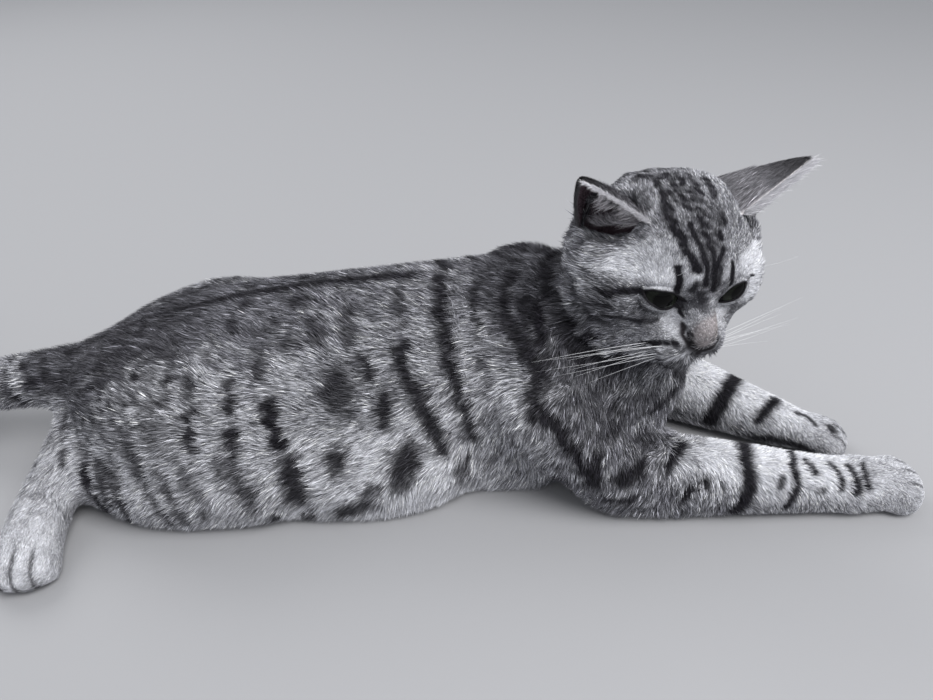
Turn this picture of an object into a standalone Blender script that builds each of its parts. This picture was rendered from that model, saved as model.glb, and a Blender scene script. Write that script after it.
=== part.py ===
"""A spotted silver tabby cat, life size, lying with its forelegs stretched out and its head turned.

The whole animal is modelled as overlapping round forms, run together into one body, and then parted with
thin cuts into the head, neck, trunk, tail and limbs. The ears, eyes and nose leather are set into it.
Metres. +X runs from the tail to the forepaws, +Y to the cat's left and +Z up from the floor. The origin is
on the floor under the middle of the chest.
"""

import math

import bmesh
import bpy
from mathutils import Euler, Matrix, Vector

# How finely the forms are run together, and what is left of their faces.
VOXEL = 0.0026
BODY_SMOOTHING = 22
SMOOTHING = 6
KEPT_FACES = 0.0262
RING_SIDES = 20
RINGS_PER_SPAN = 5

# Room between pieces that touch.
CUT = 0.0005
GAP = 0.0003
CRUMB = 0.0065

# The head: its middle, and how it is tipped, nodded and turned from facing along +X.
HEAD_MIDDLE = Vector((0.109, -0.035, 0.155))
HEAD_TURN = (math.radians(-3), math.radians(18), math.radians(-77))
EYE_RADIUS = 0.0108
EYE_PLACE = Vector((0.0262, 0.0187, 0.0040))
NOSE_PLACE = Vector((0.0500, 0, -0.0120))
NOSE_RADII = (0.0075, 0.0088, 0.0062)

# The forelegs: shoulder, elbow, wrist and back of the hand, each a middle and a half width.
RIGHT_FORELEG = (
    (Vector((0.040, -0.050, 0.070)), 0.031),
    (Vector((0.086, -0.063, 0.026)), 0.0265),
    (Vector((0.198, -0.070, 0.0185)), 0.0182),
    (Vector((0.228, -0.069, 0.0150)), 0.0180),
)
LEFT_FORELEG = (
    (Vector((0.045, 0.046, 0.072)), 0.031),
    (Vector((0.098, 0.044, 0.030)), 0.0270),
    (Vector((0.202, -0.0150, 0.0185)), 0.0158),
    (Vector((0.221, -0.0200, 0.0145)), 0.0150),
)

# The paws: where the toes end, width and height; the hind ones also where they begin.
RIGHT_FOREPAW = (Vector((0.2755, -0.0670, 0.010)), 0.041, 0.030)
LEFT_FOREPAW = (Vector((0.250, -0.0270, 0.009)), 0.034, 0.022)
RIGHT_HIND_PAW = (Vector((-0.253, -0.082, 0.015)), Vector((-0.2485, -0.131, 0.010)), 0.040, 0.028)
LEFT_HIND_PAW = (Vector((-0.140, 0.096, 0.013)), Vector((-0.094, 0.101, 0.010)), 0.039, 0.027)

# One ear in the head's axes: its front edge, outer edge and back where they leave the head, and its tip.
EAR_FRONT = Vector((0.005, 0.0265, 0.0345))
EAR_OUTER = Vector((-0.012, 0.0500, 0.0115))
EAR_BACK = Vector((-0.032, 0.0340, 0.0280))
EAR_TIP = Vector((-0.0075, 0.0615, 0.0515))
EAR_LEAF = 0.0022
EAR_BULGE = 0.0050
EAR_TIP_WIDTH = 0.20
EAR_ROWS = (-0.30, -0.12, 0.05, 0.22, 0.38, 0.54, 0.70, 0.85, 1.0)
EAR_HALF_COLUMNS = 5
BOWL_PLACE = Vector((-0.0075, 0.0405, 0.0275))
BOWL_RADII = (0.0165, 0.0145, 0.0150)

# Finishes: colour and roughness.
COAT = ((0.36, 0.36, 0.38), 0.85)
PALE_COAT = ((0.62, 0.61, 0.62), 0.85)
EAR_SKIN = ((0.42, 0.33, 0.36), 0.70)
NOSE_LEATHER = ((0.30, 0.20, 0.19), 0.45)
EYE = ((0.10, 0.14, 0.08), 0.08)
FINISHES = {
    "right_ear": EAR_SKIN,
    "left_ear": EAR_SKIN,
    "right_eye": EYE,
    "left_eye": EYE,
    "nose": NOSE_LEATHER,
    "right_forearm": PALE_COAT,
    "left_forearm": PALE_COAT,
    "right_hind_foot": PALE_COAT,
    "left_hind_foot": PALE_COAT,
}


def clear_scene():
    for thing in list(bpy.data.objects):
        bpy.data.objects.remove(thing)


def finish(part):
    """A plain Principled finish of its own for one part of the body."""
    colour, roughness = FINISHES.get(part.name, COAT)
    made = bpy.data.materials.new(part.name)
    made.use_nodes = True
    shader = made.node_tree.nodes["Principled BSDF"]
    shader.inputs["Base Color"].default_value = (*colour, 1.0)
    shader.inputs["Roughness"].default_value = roughness
    part.data.materials.clear()
    part.data.materials.append(made)


def new_object(name, mesh):
    made = bpy.data.objects.new(name, mesh)
    bpy.context.scene.collection.objects.link(made)
    return made


def mesh_of(form, name):
    mesh = bpy.data.meshes.new(name)
    form.to_mesh(mesh)
    form.free()
    return mesh


def with_modifiers(thing):
    """The object again, as the mesh that its modifiers make."""
    bpy.context.view_layer.update()
    graph = bpy.context.evaluated_depsgraph_get()
    mesh = bpy.data.meshes.new_from_object(thing.evaluated_get(graph))
    name = thing.name
    bpy.data.objects.remove(thing)
    return new_object(name, mesh)


def less(body, cutter_form):
    """The body with the cutter's volume taken out of it."""
    cutter = new_object("cutter", mesh_of(cutter_form, "cutter"))
    cut = body.modifiers.new("cut", "BOOLEAN")
    cut.operation = "DIFFERENCE"
    cut.solver = "EXACT"
    cut.object = cutter
    body = with_modifiers(body)
    bpy.data.objects.remove(cutter)
    return body


def loose_meshes(mesh, name):
    """Each connected piece of a mesh, as a mesh of its own."""
    form = bmesh.new()
    form.from_mesh(mesh)
    left = set(form.verts)
    made = []
    while left:
        reached = [left.pop()]
        piece = []
        while reached:
            vertex = reached.pop()
            piece.append(vertex)
            near = {edge.other_vert(vertex) for edge in vertex.link_edges} & left
            left -= near
            reached.extend(near)
        place = {vertex: k for k, vertex in enumerate(piece)}
        faces = {face for vertex in piece for face in vertex.link_faces}
        part = bpy.data.meshes.new(name)
        rows = [[place[vertex] for vertex in face.verts] for face in faces]
        part.from_pydata([vertex.co[:] for vertex in piece], [], rows)
        made.append(part)
    form.free()
    return made


def head_frame():
    """The head's own axes: X out of the nose, Y to its left, Z out of the crown."""
    return Matrix.Translation(HEAD_MIDDLE) @ Euler(HEAD_TURN, "XYZ").to_matrix().to_4x4()


def mirrored(point, side):
    return Vector((point.x, point.y * side, point.z))


def ball(form, middle, radii, turn=(0, 0, 0), frame=Matrix.Identity(4), sides=24):
    """An egg: a sphere stretched to three radii, turned by degrees about X, Y and Z."""
    angles = [math.radians(angle) for angle in turn]
    place = Matrix.Translation(middle) @ Euler(angles, "XYZ").to_matrix().to_4x4()
    place = frame @ place @ Matrix.Diagonal((*radii, 1.0))
    bmesh.ops.create_uvsphere(
        form, u_segments=sides, v_segments=sides * 7 // 12, radius=1.0, matrix=place
    )


def between(a, b, c, d, share):
    """Catmull-Rom: the value a share of the way from b to c, on the smooth curve through all four."""
    return 0.5 * (
        2 * b
        + (c - a) * share
        + (2 * a - 5 * b + 4 * c - d) * share**2
        + (3 * b - a - 3 * c + d) * share**3
    )


def smooth_stations(stations):
    """More stations on the smooth curve through the given ones, each (x, y, z, half width, half height)."""
    rows = [Vector(row) for row in stations]
    rows = [2 * rows[0] - rows[1], *rows, 2 * rows[-1] - rows[-2]]
    made = []
    for k in range(1, len(rows) - 2):
        for step in range(RINGS_PER_SPAN):
            made.append(between(*rows[k - 1 : k + 3], step / RINGS_PER_SPAN))
    return [*made, rows[-2]]


def limb(form, stations, frame=Matrix.Identity(4)):
    """A closed round body through stations (x, y, z, half width, half height), with domed ends.

    Each ring is an ellipse square to the path, its width level and its height upright.
    """
    rows = smooth_stations(stations)
    middles = [Vector(row[:3]) for row in rows]
    rings = []
    for k, row in enumerate(rows):
        ahead = middles[min(k + 1, len(rows) - 1)] - middles[max(k - 1, 0)]
        rings.append((middles[k], ahead.normalized(), row[3], row[4]))
    domes = []
    for (middle, ahead, wide, high), side in ((rings[0], -1), (rings[-1], 1)):
        for angle in (35, 62, 82):
            out = side * math.sin(math.radians(angle)) * min(wide, high)
            shrink = math.cos(math.radians(angle))
            domes.append((middle + ahead * out, ahead, wide * shrink, high * shrink))
    rings = [*reversed(domes[:3]), *rings, *domes[3:]]
    last = None
    for k, (middle, ahead, wide, high) in enumerate(rings):
        level = Vector((0, 0, 1)).cross(ahead).normalized()
        upright = ahead.cross(level)
        axes = Matrix((level, upright, ahead)).transposed().to_4x4()
        place = frame @ Matrix.Translation(middle) @ axes @ Matrix.Diagonal((wide, high, 1, 1))
        capped = k in (0, len(rings) - 1)
        made = bmesh.ops.create_circle(
            form, cap_ends=capped, segments=RING_SIDES, radius=1.0, matrix=place
        )
        inside = set(made["verts"])
        edges = {edge for vertex in inside for edge in vertex.link_edges}
        ring = [edge for edge in edges if inside.issuperset(edge.verts)]
        if last:
            bmesh.ops.bridge_loops(form, edges=[*last, *ring])
        last = ring


def trunk_forms(form):
    """Breast, ribs, loin and rump, with the shoulders, and the belly spread on the floor."""
    spine = [
        (0.078, -0.004, 0.062, 0.036, 0.040),
        (0.055, -0.003, 0.064, 0.053, 0.062),
        (0.020, 0.000, 0.063, 0.061, 0.069),
        (-0.030, 0.000, 0.060, 0.067, 0.066),
        (-0.085, 0.000, 0.056, 0.071, 0.063),
        (-0.140, 0.002, 0.052, 0.072, 0.060),
        (-0.190, 0.003, 0.047, 0.062, 0.053),
        (-0.228, 0.003, 0.045, 0.046, 0.041),
        (-0.250, 0.003, 0.048, 0.028, 0.026),
    ]
    limb(form, spine)
    back = [
        (0.040, 0.000, 0.106, 0.026, 0.023),
        (-0.040, 0.000, 0.106, 0.026, 0.022),
        (-0.110, 0.001, 0.101, 0.028, 0.020),
        (-0.180, 0.002, 0.088, 0.027, 0.018),
        (-0.235, 0.003, 0.068, 0.021, 0.016),
    ]
    limb(form, back)
    for side in (-1, 1):
        ball(form, (0.034, 0.038 * side, 0.078), (0.042, 0.027, 0.050), turn=(0, 20, 0))
        ball(form, (-0.075, 0.050 * side, 0.026), (0.090, 0.036, 0.034))
        ball(form, (0.020, 0.031 * side, 0.026), (0.065, 0.032, 0.034))


def neck_forms(form):
    """The thick neck rises forward from the shoulders and turns with the head; below it is the breast."""
    nape = [
        (0.015, 0.001, 0.080, 0.050, 0.050),
        (0.052, -0.006, 0.090, 0.050, 0.046),
        (0.080, -0.012, 0.106, 0.048, 0.043),
        (0.098, -0.022, 0.128, 0.046, 0.042),
    ]
    limb(form, nape)
    ball(form, (0.093, -0.021, 0.070), (0.042, 0.042, 0.042), turn=(0, -25, 0))


def head_forms(form, frame):
    """Skull, cheeks, brow, bridge of the nose, whisker pads, chin and jaw, in the head's own axes."""
    ball(form, (-0.006, 0, 0.006), (0.043, 0.042, 0.038), frame=frame)
    ball(form, (0.018, 0, 0.013), (0.023, 0.025, 0.021), frame=frame)
    ball(form, (-0.020, 0, -0.004), (0.027, 0.037, 0.034), frame=frame)
    bridge = [
        (0.024, 0, 0.009, 0.013, 0.012),
        (0.037, 0, 0.000, 0.0100, 0.0100),
        (0.047, 0, -0.0080, 0.0088, 0.0080),
    ]
    limb(form, bridge, frame)
    ball(form, (0.0460, 0, -0.0125), (0.0080, 0.0090, 0.0072), frame=frame)
    ball(form, (0.0385, 0, -0.0325), (0.0120, 0.0122, 0.0092), frame=frame)
    ball(form, (0.016, 0, -0.024), (0.028, 0.024, 0.016), frame=frame)
    for side in (-1, 1):
        ball(form, (0.003, 0.025 * side, -0.008), (0.031, 0.028, 0.027), frame=frame)
        ball(form, (0.0245, 0.017 * side, 0.011), (0.0125, 0.0135, 0.0085), frame=frame)
        ball(form, (0.022, 0.021 * side, -0.008), (0.0150, 0.0130, 0.0100), frame=frame)
        ball(form, (0.0375, 0.0100 * side, -0.0208), (0.0152, 0.0126, 0.0120), frame=frame)
        ball(form, (0.0240, 0.0170 * side, -0.0170), (0.0180, 0.0140, 0.0130), frame=frame)
        ball(form, (-0.016, 0.033 * side, 0.014), (0.019, 0.015, 0.016), frame=frame)
        ball(form, (-0.012, 0.030 * side, -0.004), (0.030, 0.027, 0.030), frame=frame)


def paw_forms(form, wrist, tip, width, height):
    """A paw from the wrist to the toe tips: a low palm and four toes side by side on the floor."""
    ahead = (tip - wrist).normalized()
    level = Vector((0, 0, 1)).cross(ahead).normalized()
    turn = (0, 0, math.degrees(math.atan2(ahead.y, ahead.x)))
    palm = wrist.lerp(tip, 0.45)
    ball(form, palm, ((tip - wrist).length * 0.48, width * 0.47, height * 0.52), turn)
    toe = width * 0.17
    for across, back in ((-1.5, 0.30), (-0.5, 0.0), (0.5, 0.0), (1.5, 0.30)):
        middle = tip - ahead * (toe * 1.8 + back * width * 0.40)
        middle += level * (across * width * 0.235)
        middle.z = height * 0.40
        ball(form, middle, (toe * 1.8, toe, height * 0.42), turn)


def leg_forms(form, shoulder, elbow, wrist, hand):
    """Upper arm and forearm: shoulder, elbow, wrist and hand are each a middle and a half width."""
    arm = [(*shoulder[0], shoulder[1], shoulder[1] * 1.15), (*elbow[0], elbow[1], elbow[1])]
    limb(form, arm)
    mid = elbow[0].lerp(wrist[0], 0.35)
    forearm = [
        (*elbow[0], elbow[1], elbow[1]),
        (*mid, elbow[1] * 0.92, elbow[1] * 0.93),
        (*wrist[0], wrist[1], wrist[1]),
        (*hand[0], hand[1], hand[1] * 0.85),
    ]
    limb(form, forearm)


def right_hind_forms(form):
    """The near hind leg: folded, its knee out on the floor and its foot put out sideways."""
    thigh = [
        (-0.208, -0.024, 0.059, 0.037, 0.041),
        (-0.170, -0.044, 0.053, 0.044, 0.047),
        (-0.125, -0.054, 0.036, 0.036, 0.041),
    ]
    limb(form, thigh)
    shank = [
        (-0.122, -0.062, 0.028, 0.029, 0.030),
        (-0.185, -0.062, 0.026, 0.028, 0.029),
        (-0.228, -0.049, 0.026, 0.022, 0.024),
        (-0.250, -0.034, 0.027, 0.016, 0.019),
    ]
    limb(form, shank)
    foot = [
        (-0.253, -0.026, 0.027, 0.014, 0.017),
        (-0.254, -0.055, 0.021, 0.0155, 0.016),
        (-0.252, -0.088, 0.017, 0.018, 0.0150),
        (-0.250, -0.108, 0.014, 0.019, 0.0125),
    ]
    limb(form, foot)


def left_hind_forms(form):
    """The far hind leg: folded beside the body, its knee up and its foot pointing forward."""
    thigh = [
        (-0.205, 0.030, 0.053, 0.034, 0.037),
        (-0.165, 0.051, 0.053, 0.035, 0.043),
        (-0.122, 0.064, 0.044, 0.027, 0.038),
    ]
    limb(form, thigh)
    shank = [
        (-0.120, 0.070, 0.030, 0.022, 0.024),
        (-0.175, 0.076, 0.024, 0.020, 0.022),
        (-0.212, 0.080, 0.018, 0.014, 0.017),
    ]
    limb(form, shank)
    foot = [
        (-0.214, 0.086, 0.015, 0.013, 0.014),
        (-0.160, 0.094, 0.013, 0.015, 0.013),
        (-0.125, 0.098, 0.012, 0.017, 0.012),
    ]
    limb(form, foot)


def tail_forms(form):
    """The tail leaves the rump high, comes down to the floor and curves away to the cat's left."""
    tail = [
        (-0.225, 0.003, 0.058, 0.024, 0.024),
        (-0.262, 0.003, 0.056, 0.0200, 0.0205),
        (-0.310, 0.006, 0.047, 0.0180, 0.0185),
        (-0.365, 0.018, 0.029, 0.0170, 0.0170),
        (-0.410, 0.038, 0.0150, 0.0165, 0.0160),
        (-0.440, 0.070, 0.0145, 0.0160, 0.0155),
        (-0.452, 0.108, 0.0140, 0.0155, 0.0150),
        (-0.446, 0.146, 0.0130, 0.0140, 0.0140),
    ]
    limb(form, tail)


def run_together(form, smoothing):
    """One even surface over all the forms, their meetings smoothed."""
    rough = new_object("body", mesh_of(form, "body"))
    skin = rough.modifiers.new("run_together", "REMESH")
    skin.mode = "VOXEL"
    skin.voxel_size = VOXEL
    even = rough.modifiers.new("even", "SMOOTH")
    even.factor = 0.5
    even.iterations = smoothing
    return with_modifiers(rough)


def whole_body(frame):
    """The body smoothed as muscle and coat smooth it, then the head and paws, whose forms stay crisper."""
    form = bmesh.new()
    trunk_forms(form)
    neck_forms(form)
    leg_forms(form, *RIGHT_FORELEG)
    leg_forms(form, *LEFT_FORELEG)
    right_hind_forms(form)
    left_hind_forms(form)
    tail_forms(form)
    body = run_together(form, BODY_SMOOTHING)
    form = bmesh.new()
    head_forms(form, frame)
    paw_forms(form, RIGHT_FORELEG[2][0], *RIGHT_FOREPAW)
    paw_forms(form, LEFT_FORELEG[2][0], *LEFT_FOREPAW)
    paw_forms(form, *RIGHT_HIND_PAW)
    paw_forms(form, *LEFT_HIND_PAW)
    form.from_mesh(body.data)
    bpy.data.objects.remove(body)
    whole = run_together(form, SMOOTHING)
    thin = whole.modifiers.new("thin", "DECIMATE")
    thin.ratio = KEPT_FACES
    return with_modifiers(whole)


def egg_shell(middle, radii, turn=(0, 0, 0), frame=Matrix.Identity(4), sides=12):
    """The thin space between two eggs, one in the other: it parts what is inside from what is outside."""
    form = bmesh.new()
    ball(form, middle, radii, turn, frame, sides)
    outer = set(form.faces)
    ball(form, middle, [radius - CUT for radius in radii], turn, frame, sides)
    inner = [face for face in form.faces if face not in outer]
    bmesh.ops.reverse_faces(form, faces=inner)
    return form


def plate(middle, ahead, radius):
    """A thin round plate square to a direction, wide enough to part one limb, the tail or the neck."""
    form = bmesh.new()
    turn = Vector(ahead).to_track_quat("Z", "Y").to_matrix().to_4x4()
    place = Matrix.Translation(middle) @ turn
    bmesh.ops.create_cone(
        form, cap_ends=True, segments=24, radius1=radius, radius2=radius, depth=CUT, matrix=place
    )
    return form


def middle_of(mesh):
    return sum((vertex.co for vertex in mesh.vertices), Vector()) / len(mesh.vertices)


def reach(mesh):
    """How far a piece goes from its middle."""
    middle = middle_of(mesh)
    return max((vertex.co - middle).length for vertex in mesh.vertices)


def part_off(body, name, marker, cutter_form):
    """Part a piece of the body from the rest, without crumbs. The marker is near the middle of that piece."""
    cut = less(body, cutter_form)
    pieces = loose_meshes(cut.data, name)
    bpy.data.objects.remove(cut)
    whole = [piece for piece in pieces if reach(piece) > CRUMB]
    if len(whole) != 2:
        raise ValueError(f"{name}: {len(whole)} pieces, not 2")
    whole.sort(key=lambda mesh: (middle_of(mesh) - Vector(marker)).length)
    new_object(name, whole[0])
    return new_object("rest", whole[1])


def part_all(body, frame):
    """The body stood on a flat floor, hollowed for the eyes and parted into its lengths."""
    floor = bmesh.new()
    below = Matrix.Translation((0, 0, -0.05)) @ Matrix.Diagonal((1.4, 0.8, 0.1, 1))
    bmesh.ops.create_cube(floor, size=1, matrix=below)
    body = less(body, floor)
    for side in (-1, 1):
        socket = bmesh.new()
        ball(socket, mirrored(EYE_PLACE, side), [EYE_RADIUS + GAP] * 3, frame=frame, sides=16)
        body = less(body, socket)
        bowl = bmesh.new()
        ball(bowl, mirrored(BOWL_PLACE, side), BOWL_RADII, frame=frame, sides=12)
        body = less(body, bowl)
    nose_shell = egg_shell(NOSE_PLACE, NOSE_RADII, frame=frame, sides=14)
    cuts = [
        ("nose", frame @ NOSE_PLACE, nose_shell),
        ("head", HEAD_MIDDLE, plate((0.092, -0.017, 0.116), (0.55, -0.35, 0.90), 0.075)),
        ("tail_end", (-0.45, 0.11, 0.02), plate((-0.432, 0.058, 0.016), (0.6, -0.8, 0), 0.028)),
        ("tail_middle", (-0.40, 0.03, 0.02), plate((-0.350, 0.013, 0.035), (1, -0.25, 0.3), 0.028)),
        ("tail_root", (-0.31, 0.01, 0.05), plate((-0.280, 0.003, 0.053), (1, 0, 0.1), 0.028)),
        ("right_hind_foot", (-0.25, -0.10, 0.01), plate((-0.253, -0.077, 0.018), (0, -1, -0.1), 0.03)),
        ("right_hock", (-0.24, -0.05, 0.02), egg_shell((-0.252, -0.052, 0.022), (0.032, 0.040, 0.030))),
        ("right_thigh", (-0.17, -0.06, 0.04), egg_shell((-0.158, -0.060, 0.042), (0.078, 0.045, 0.064))),
        ("left_hind_foot", (-0.15, 0.09, 0.01), egg_shell((-0.160, 0.104, 0.010), (0.092, 0.037, 0.028))),
        ("left_thigh", (-0.16, 0.06, 0.04), egg_shell((-0.162, 0.070, 0.042), (0.080, 0.050, 0.066))),
        ("right_forearm", (0.21, -0.07, 0.02), plate((0.126, -0.065, 0.022), (1, -0.05, -0.05), 0.034)),
        ("left_forearm", (0.18, 0.00, 0.02), plate((0.130, 0.026, 0.025), (0.88, -0.48, 0), 0.030)),
        ("right_upper_arm", (0.08, -0.06, 0.04), egg_shell((0.076, -0.066, 0.038), (0.078, 0.046, 0.060))),
        ("left_upper_arm", (0.08, 0.04, 0.04), egg_shell((0.086, 0.050, 0.036), (0.080, 0.054, 0.062))),
        ("neck", (0.08, -0.01, 0.10), plate((0.056, -0.003, 0.100), (0.60, -0.10, 0.80), 0.100)),
    ]
    for name, marker, cutter in cuts:
        body = part_off(body, name, marker, cutter)
    body.name = "trunk"


def ear(side, frame, head):
    """A cupped leaf on the side of the crown, each row running from its front edge round to its outer edge.

    Across a row, share -1 to 1, it is the parabola through front, back and outer edge. Up, the rows close
    to the tip.
    """
    front, back, outer, tip = EAR_FRONT, EAR_BACK, EAR_OUTER, EAR_TIP
    form = bmesh.new()
    rows = []
    for up in EAR_ROWS:
        row = []
        for k in range(-EAR_HALF_COLUMNS, EAR_HALF_COLUMNS + 1):
            share = k / EAR_HALF_COLUMNS
            base = front * (share * (share - 1) / 2)
            base += back * (1 - share**2)
            base += outer * (share * (share + 1) / 2)
            rounding = 1 - EAR_TIP_WIDTH * abs(share) ** 3 * max(up, 0)
            point = base.lerp(tip, up * rounding)
            point.y += EAR_BULGE * math.sin(math.pi * max(up, 0)) * (1 + share) / 2
            row.append(form.verts.new(frame @ mirrored(point, side)))
        rows.append(row)
    for low, high in zip(rows, rows[1:]):
        for k in range(2 * EAR_HALF_COLUMNS):
            face = [low[k], low[k + 1], high[k + 1], high[k]]
            form.faces.new(face if side > 0 else face[::-1])
    name = "left_ear" if side > 0 else "right_ear"
    leaf = new_object("leaf", mesh_of(form, "leaf"))
    thick = leaf.modifiers.new("thick", "SOLIDIFY")
    thick.thickness = EAR_LEAF
    thick.offset = 0
    leaf = with_modifiers(leaf)
    around = bmesh.new()
    around.from_mesh(head.data)
    around.normal_update()
    for vertex in around.verts:
        vertex.co += vertex.normal * GAP
    leaf = less(leaf, around)
    pieces = loose_meshes(leaf.data, name)
    bpy.data.objects.remove(leaf)
    new_object(name, max(pieces, key=lambda piece: len(piece.vertices)))


def eye(side, frame):
    name = "left_eye" if side > 0 else "right_eye"
    form = bmesh.new()
    ball(form, mirrored(EYE_PLACE, side), [EYE_RADIUS] * 3, frame=frame, sides=16)
    new_object(name, mesh_of(form, name))


def main():
    clear_scene()
    frame = head_frame()
    part_all(whole_body(frame), frame)
    for side in (-1, 1):
        ear(side, frame, bpy.data.objects["head"])
        eye(side, frame)
    for part in bpy.data.objects:
        finish(part)


main()
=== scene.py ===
"""A spotted silver tabby cat, life size, lying on a pale floor.

One skin covers the whole animal, a coat of short hair lies over it, and the eyes and whiskers are pieces
of their own. Metres: +X runs from the tail to the forepaws, +Y to the cat's left and +Z up.
"""

import math

import bmesh
import bpy
import numpy as np
from mathutils import Euler, Matrix, Vector


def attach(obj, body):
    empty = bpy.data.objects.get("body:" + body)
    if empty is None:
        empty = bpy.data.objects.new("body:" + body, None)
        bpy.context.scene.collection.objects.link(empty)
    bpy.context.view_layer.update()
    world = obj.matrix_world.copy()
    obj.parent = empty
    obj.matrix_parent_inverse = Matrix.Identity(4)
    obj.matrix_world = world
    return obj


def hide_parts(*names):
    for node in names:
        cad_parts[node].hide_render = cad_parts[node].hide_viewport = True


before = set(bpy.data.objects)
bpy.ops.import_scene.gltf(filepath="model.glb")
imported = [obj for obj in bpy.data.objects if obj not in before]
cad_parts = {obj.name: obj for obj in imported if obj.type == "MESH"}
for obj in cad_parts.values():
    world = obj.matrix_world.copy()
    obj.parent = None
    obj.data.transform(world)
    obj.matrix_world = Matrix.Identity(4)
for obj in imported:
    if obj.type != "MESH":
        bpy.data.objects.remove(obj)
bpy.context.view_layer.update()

# ---- The skin -------------------------------------------------------------------------------------
# One closed hide over trunk, neck, head, limbs and tail. It is drawn over a copy of the solid body,
# swollen by a hair's breadth so that the thin cuts between its lengths close, and smoothed.
HIDE_GRAIN = 0.0034
SWELL = 0.0004
EYES = ("right_eye", "left_eye")
EARS = ("right_ear", "left_ear")
FLESH = [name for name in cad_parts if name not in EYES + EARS]


def as_array(data, key, width, kind=np.float64):
    """One property of every vertex, edge or face, as the rows of an array."""
    out = np.empty(len(data) * width, kind)
    data.foreach_get(key, out)
    return out.reshape(-1, width) if width > 1 else out


def solid_copy(name, swell):
    """A node's solid as one closed mesh, every corner moved out along its normal by the swell."""
    form = bmesh.new()
    form.from_mesh(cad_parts[name].data)
    bmesh.ops.remove_doubles(form, verts=form.verts, dist=1e-6)
    mesh = bpy.data.meshes.new("copy")
    form.to_mesh(mesh)
    form.free()
    corners = as_array(mesh.vertices, "co", 3) + swell * as_array(mesh.vertex_normals, "vector", 3)
    mesh.vertices.foreach_set("co", corners.ravel())
    return mesh, corners


def placed(name, data):
    """A new object of this name that holds the data, in the scene."""
    thing = bpy.data.objects.new(name, data)
    bpy.context.scene.collection.objects.link(thing)
    return thing


def drawn_over(meshes, grain):
    """One even mesh of squares over everything that the meshes fill."""
    form = bmesh.new()
    for mesh in meshes:
        form.from_mesh(mesh)
    joined = bpy.data.meshes.new("joined")
    form.to_mesh(joined)
    form.free()
    thing = placed("joined", joined)
    over = thing.modifiers.new("over", "REMESH")
    over.mode = "VOXEL"
    over.voxel_size = grain
    graph = bpy.context.evaluated_depsgraph_get()
    even = bpy.data.meshes.new_from_object(thing.evaluated_get(graph))
    bpy.data.objects.remove(thing)
    return even


def neighbours(mesh):
    """For every vertex its neighbours, one after another, where each vertex's run begins, and how many."""
    edges = as_array(mesh.edges, "vertices", 2, np.int32)
    ends = np.concatenate([edges, edges[:, ::-1]])
    ends = ends[np.argsort(ends[:, 0], kind="stable")]
    count = np.bincount(ends[:, 0], minlength=len(mesh.vertices))
    start = np.concatenate([[0], np.cumsum(count)[:-1]])
    return ends[:, 1], start, count[:, None]


def eased(values, near, times, share=0.5):
    """Each value goes a share of the way to its neighbours' mean, again and again."""
    others, start, count = near
    for _ in range(times):
        mean = np.add.reduceat(values[others], start, axis=0) / count
        values = values + share * (mean - values)
    return values


def unfaceted(places, near, times, share=1.0):
    """Smoothed without shrinking: each pass in towards the neighbours' mean is followed by one out."""
    for _ in range(times):
        places = eased(places, near, 1, 0.50 * share)
        places = eased(places, near, 1, -0.53 * share)
    return places


def unit(vectors):
    """Every vector divided by its length."""
    return vectors / (np.linalg.norm(vectors, axis=-1, keepdims=True) + 1e-12)


def smooth_step(low, high, value):
    """0 below low, 1 above high, and an even S between."""
    share = np.clip((value - low) / (high - low), 0, 1)
    return share * share * (3 - 2 * share)


def refined(mesh, chosen):
    """The squares whose corners are all chosen, each halved both ways."""
    form = bmesh.new()
    form.from_mesh(mesh)
    form.verts.ensure_lookup_table()
    edges = [edge for edge in form.edges if chosen[edge.verts[0].index] and chosen[edge.verts[1].index]]
    bmesh.ops.subdivide_edges(form, edges=edges, cuts=1, use_grid_fill=True)
    form.to_mesh(mesh)
    form.free()
    return neighbours(mesh), as_array(mesh.vertices, "co", 3)


def outward(mesh, places):
    """Every vertex's normal, once the mesh has its new places."""
    mesh.vertices.foreach_set("co", places.ravel())
    mesh.update()
    return as_array(mesh.vertex_normals, "vector", 3)


copies = {name: solid_copy(name, SWELL) for name in FLESH + list(EYES)}
hide = drawn_over([mesh for mesh, _ in copies.values()], HIDE_GRAIN)
near = neighbours(hide)
places = as_array(hide.vertices, "co", 3)

# Where the head is and how it is tipped, nodded and turned, as in the solids: X out of the nose, Y to the
# head's left and Z out of the crown. Each eyeball's middle is given in these axes.
HEAD_MIDDLE = np.array([0.109, -0.035, 0.155])
HEAD_TURN = np.array(Euler([math.radians(angle) for angle in (-3, 18, -77)], "XYZ").to_matrix())
EYE_PLACE = np.array([0.0262, 0.0187, 0.0040])
EYE_RADIUS = 0.0108
NOSE_TIP = np.array([0.0560, 0, -0.0120])


def in_head(points):
    """Points in the head's own axes."""
    return (points - HEAD_MIDDLE) @ HEAD_TURN


def from_head(points):
    """Points given in the head's own axes, in the world's."""
    return points @ HEAD_TURN.T + HEAD_MIDDLE


# The facets of the solids go: broadly on the body, lightly on the head, where the forms are small.
own = in_head(places)
of_head = 1 - smooth_step(0.060, 0.085, np.linalg.norm(own, axis=1))[:, None]
places = unfaceted(places, near, 30, 1 - 0.75 * of_head)
near, places = refined(hide, np.linalg.norm(in_head(places), axis=1) < 0.068)
own = in_head(places)
of_head = 1 - smooth_step(0.055, 0.070, np.linalg.norm(own, axis=1))[:, None]
places = unfaceted(places, near, 12, of_head)

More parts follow.
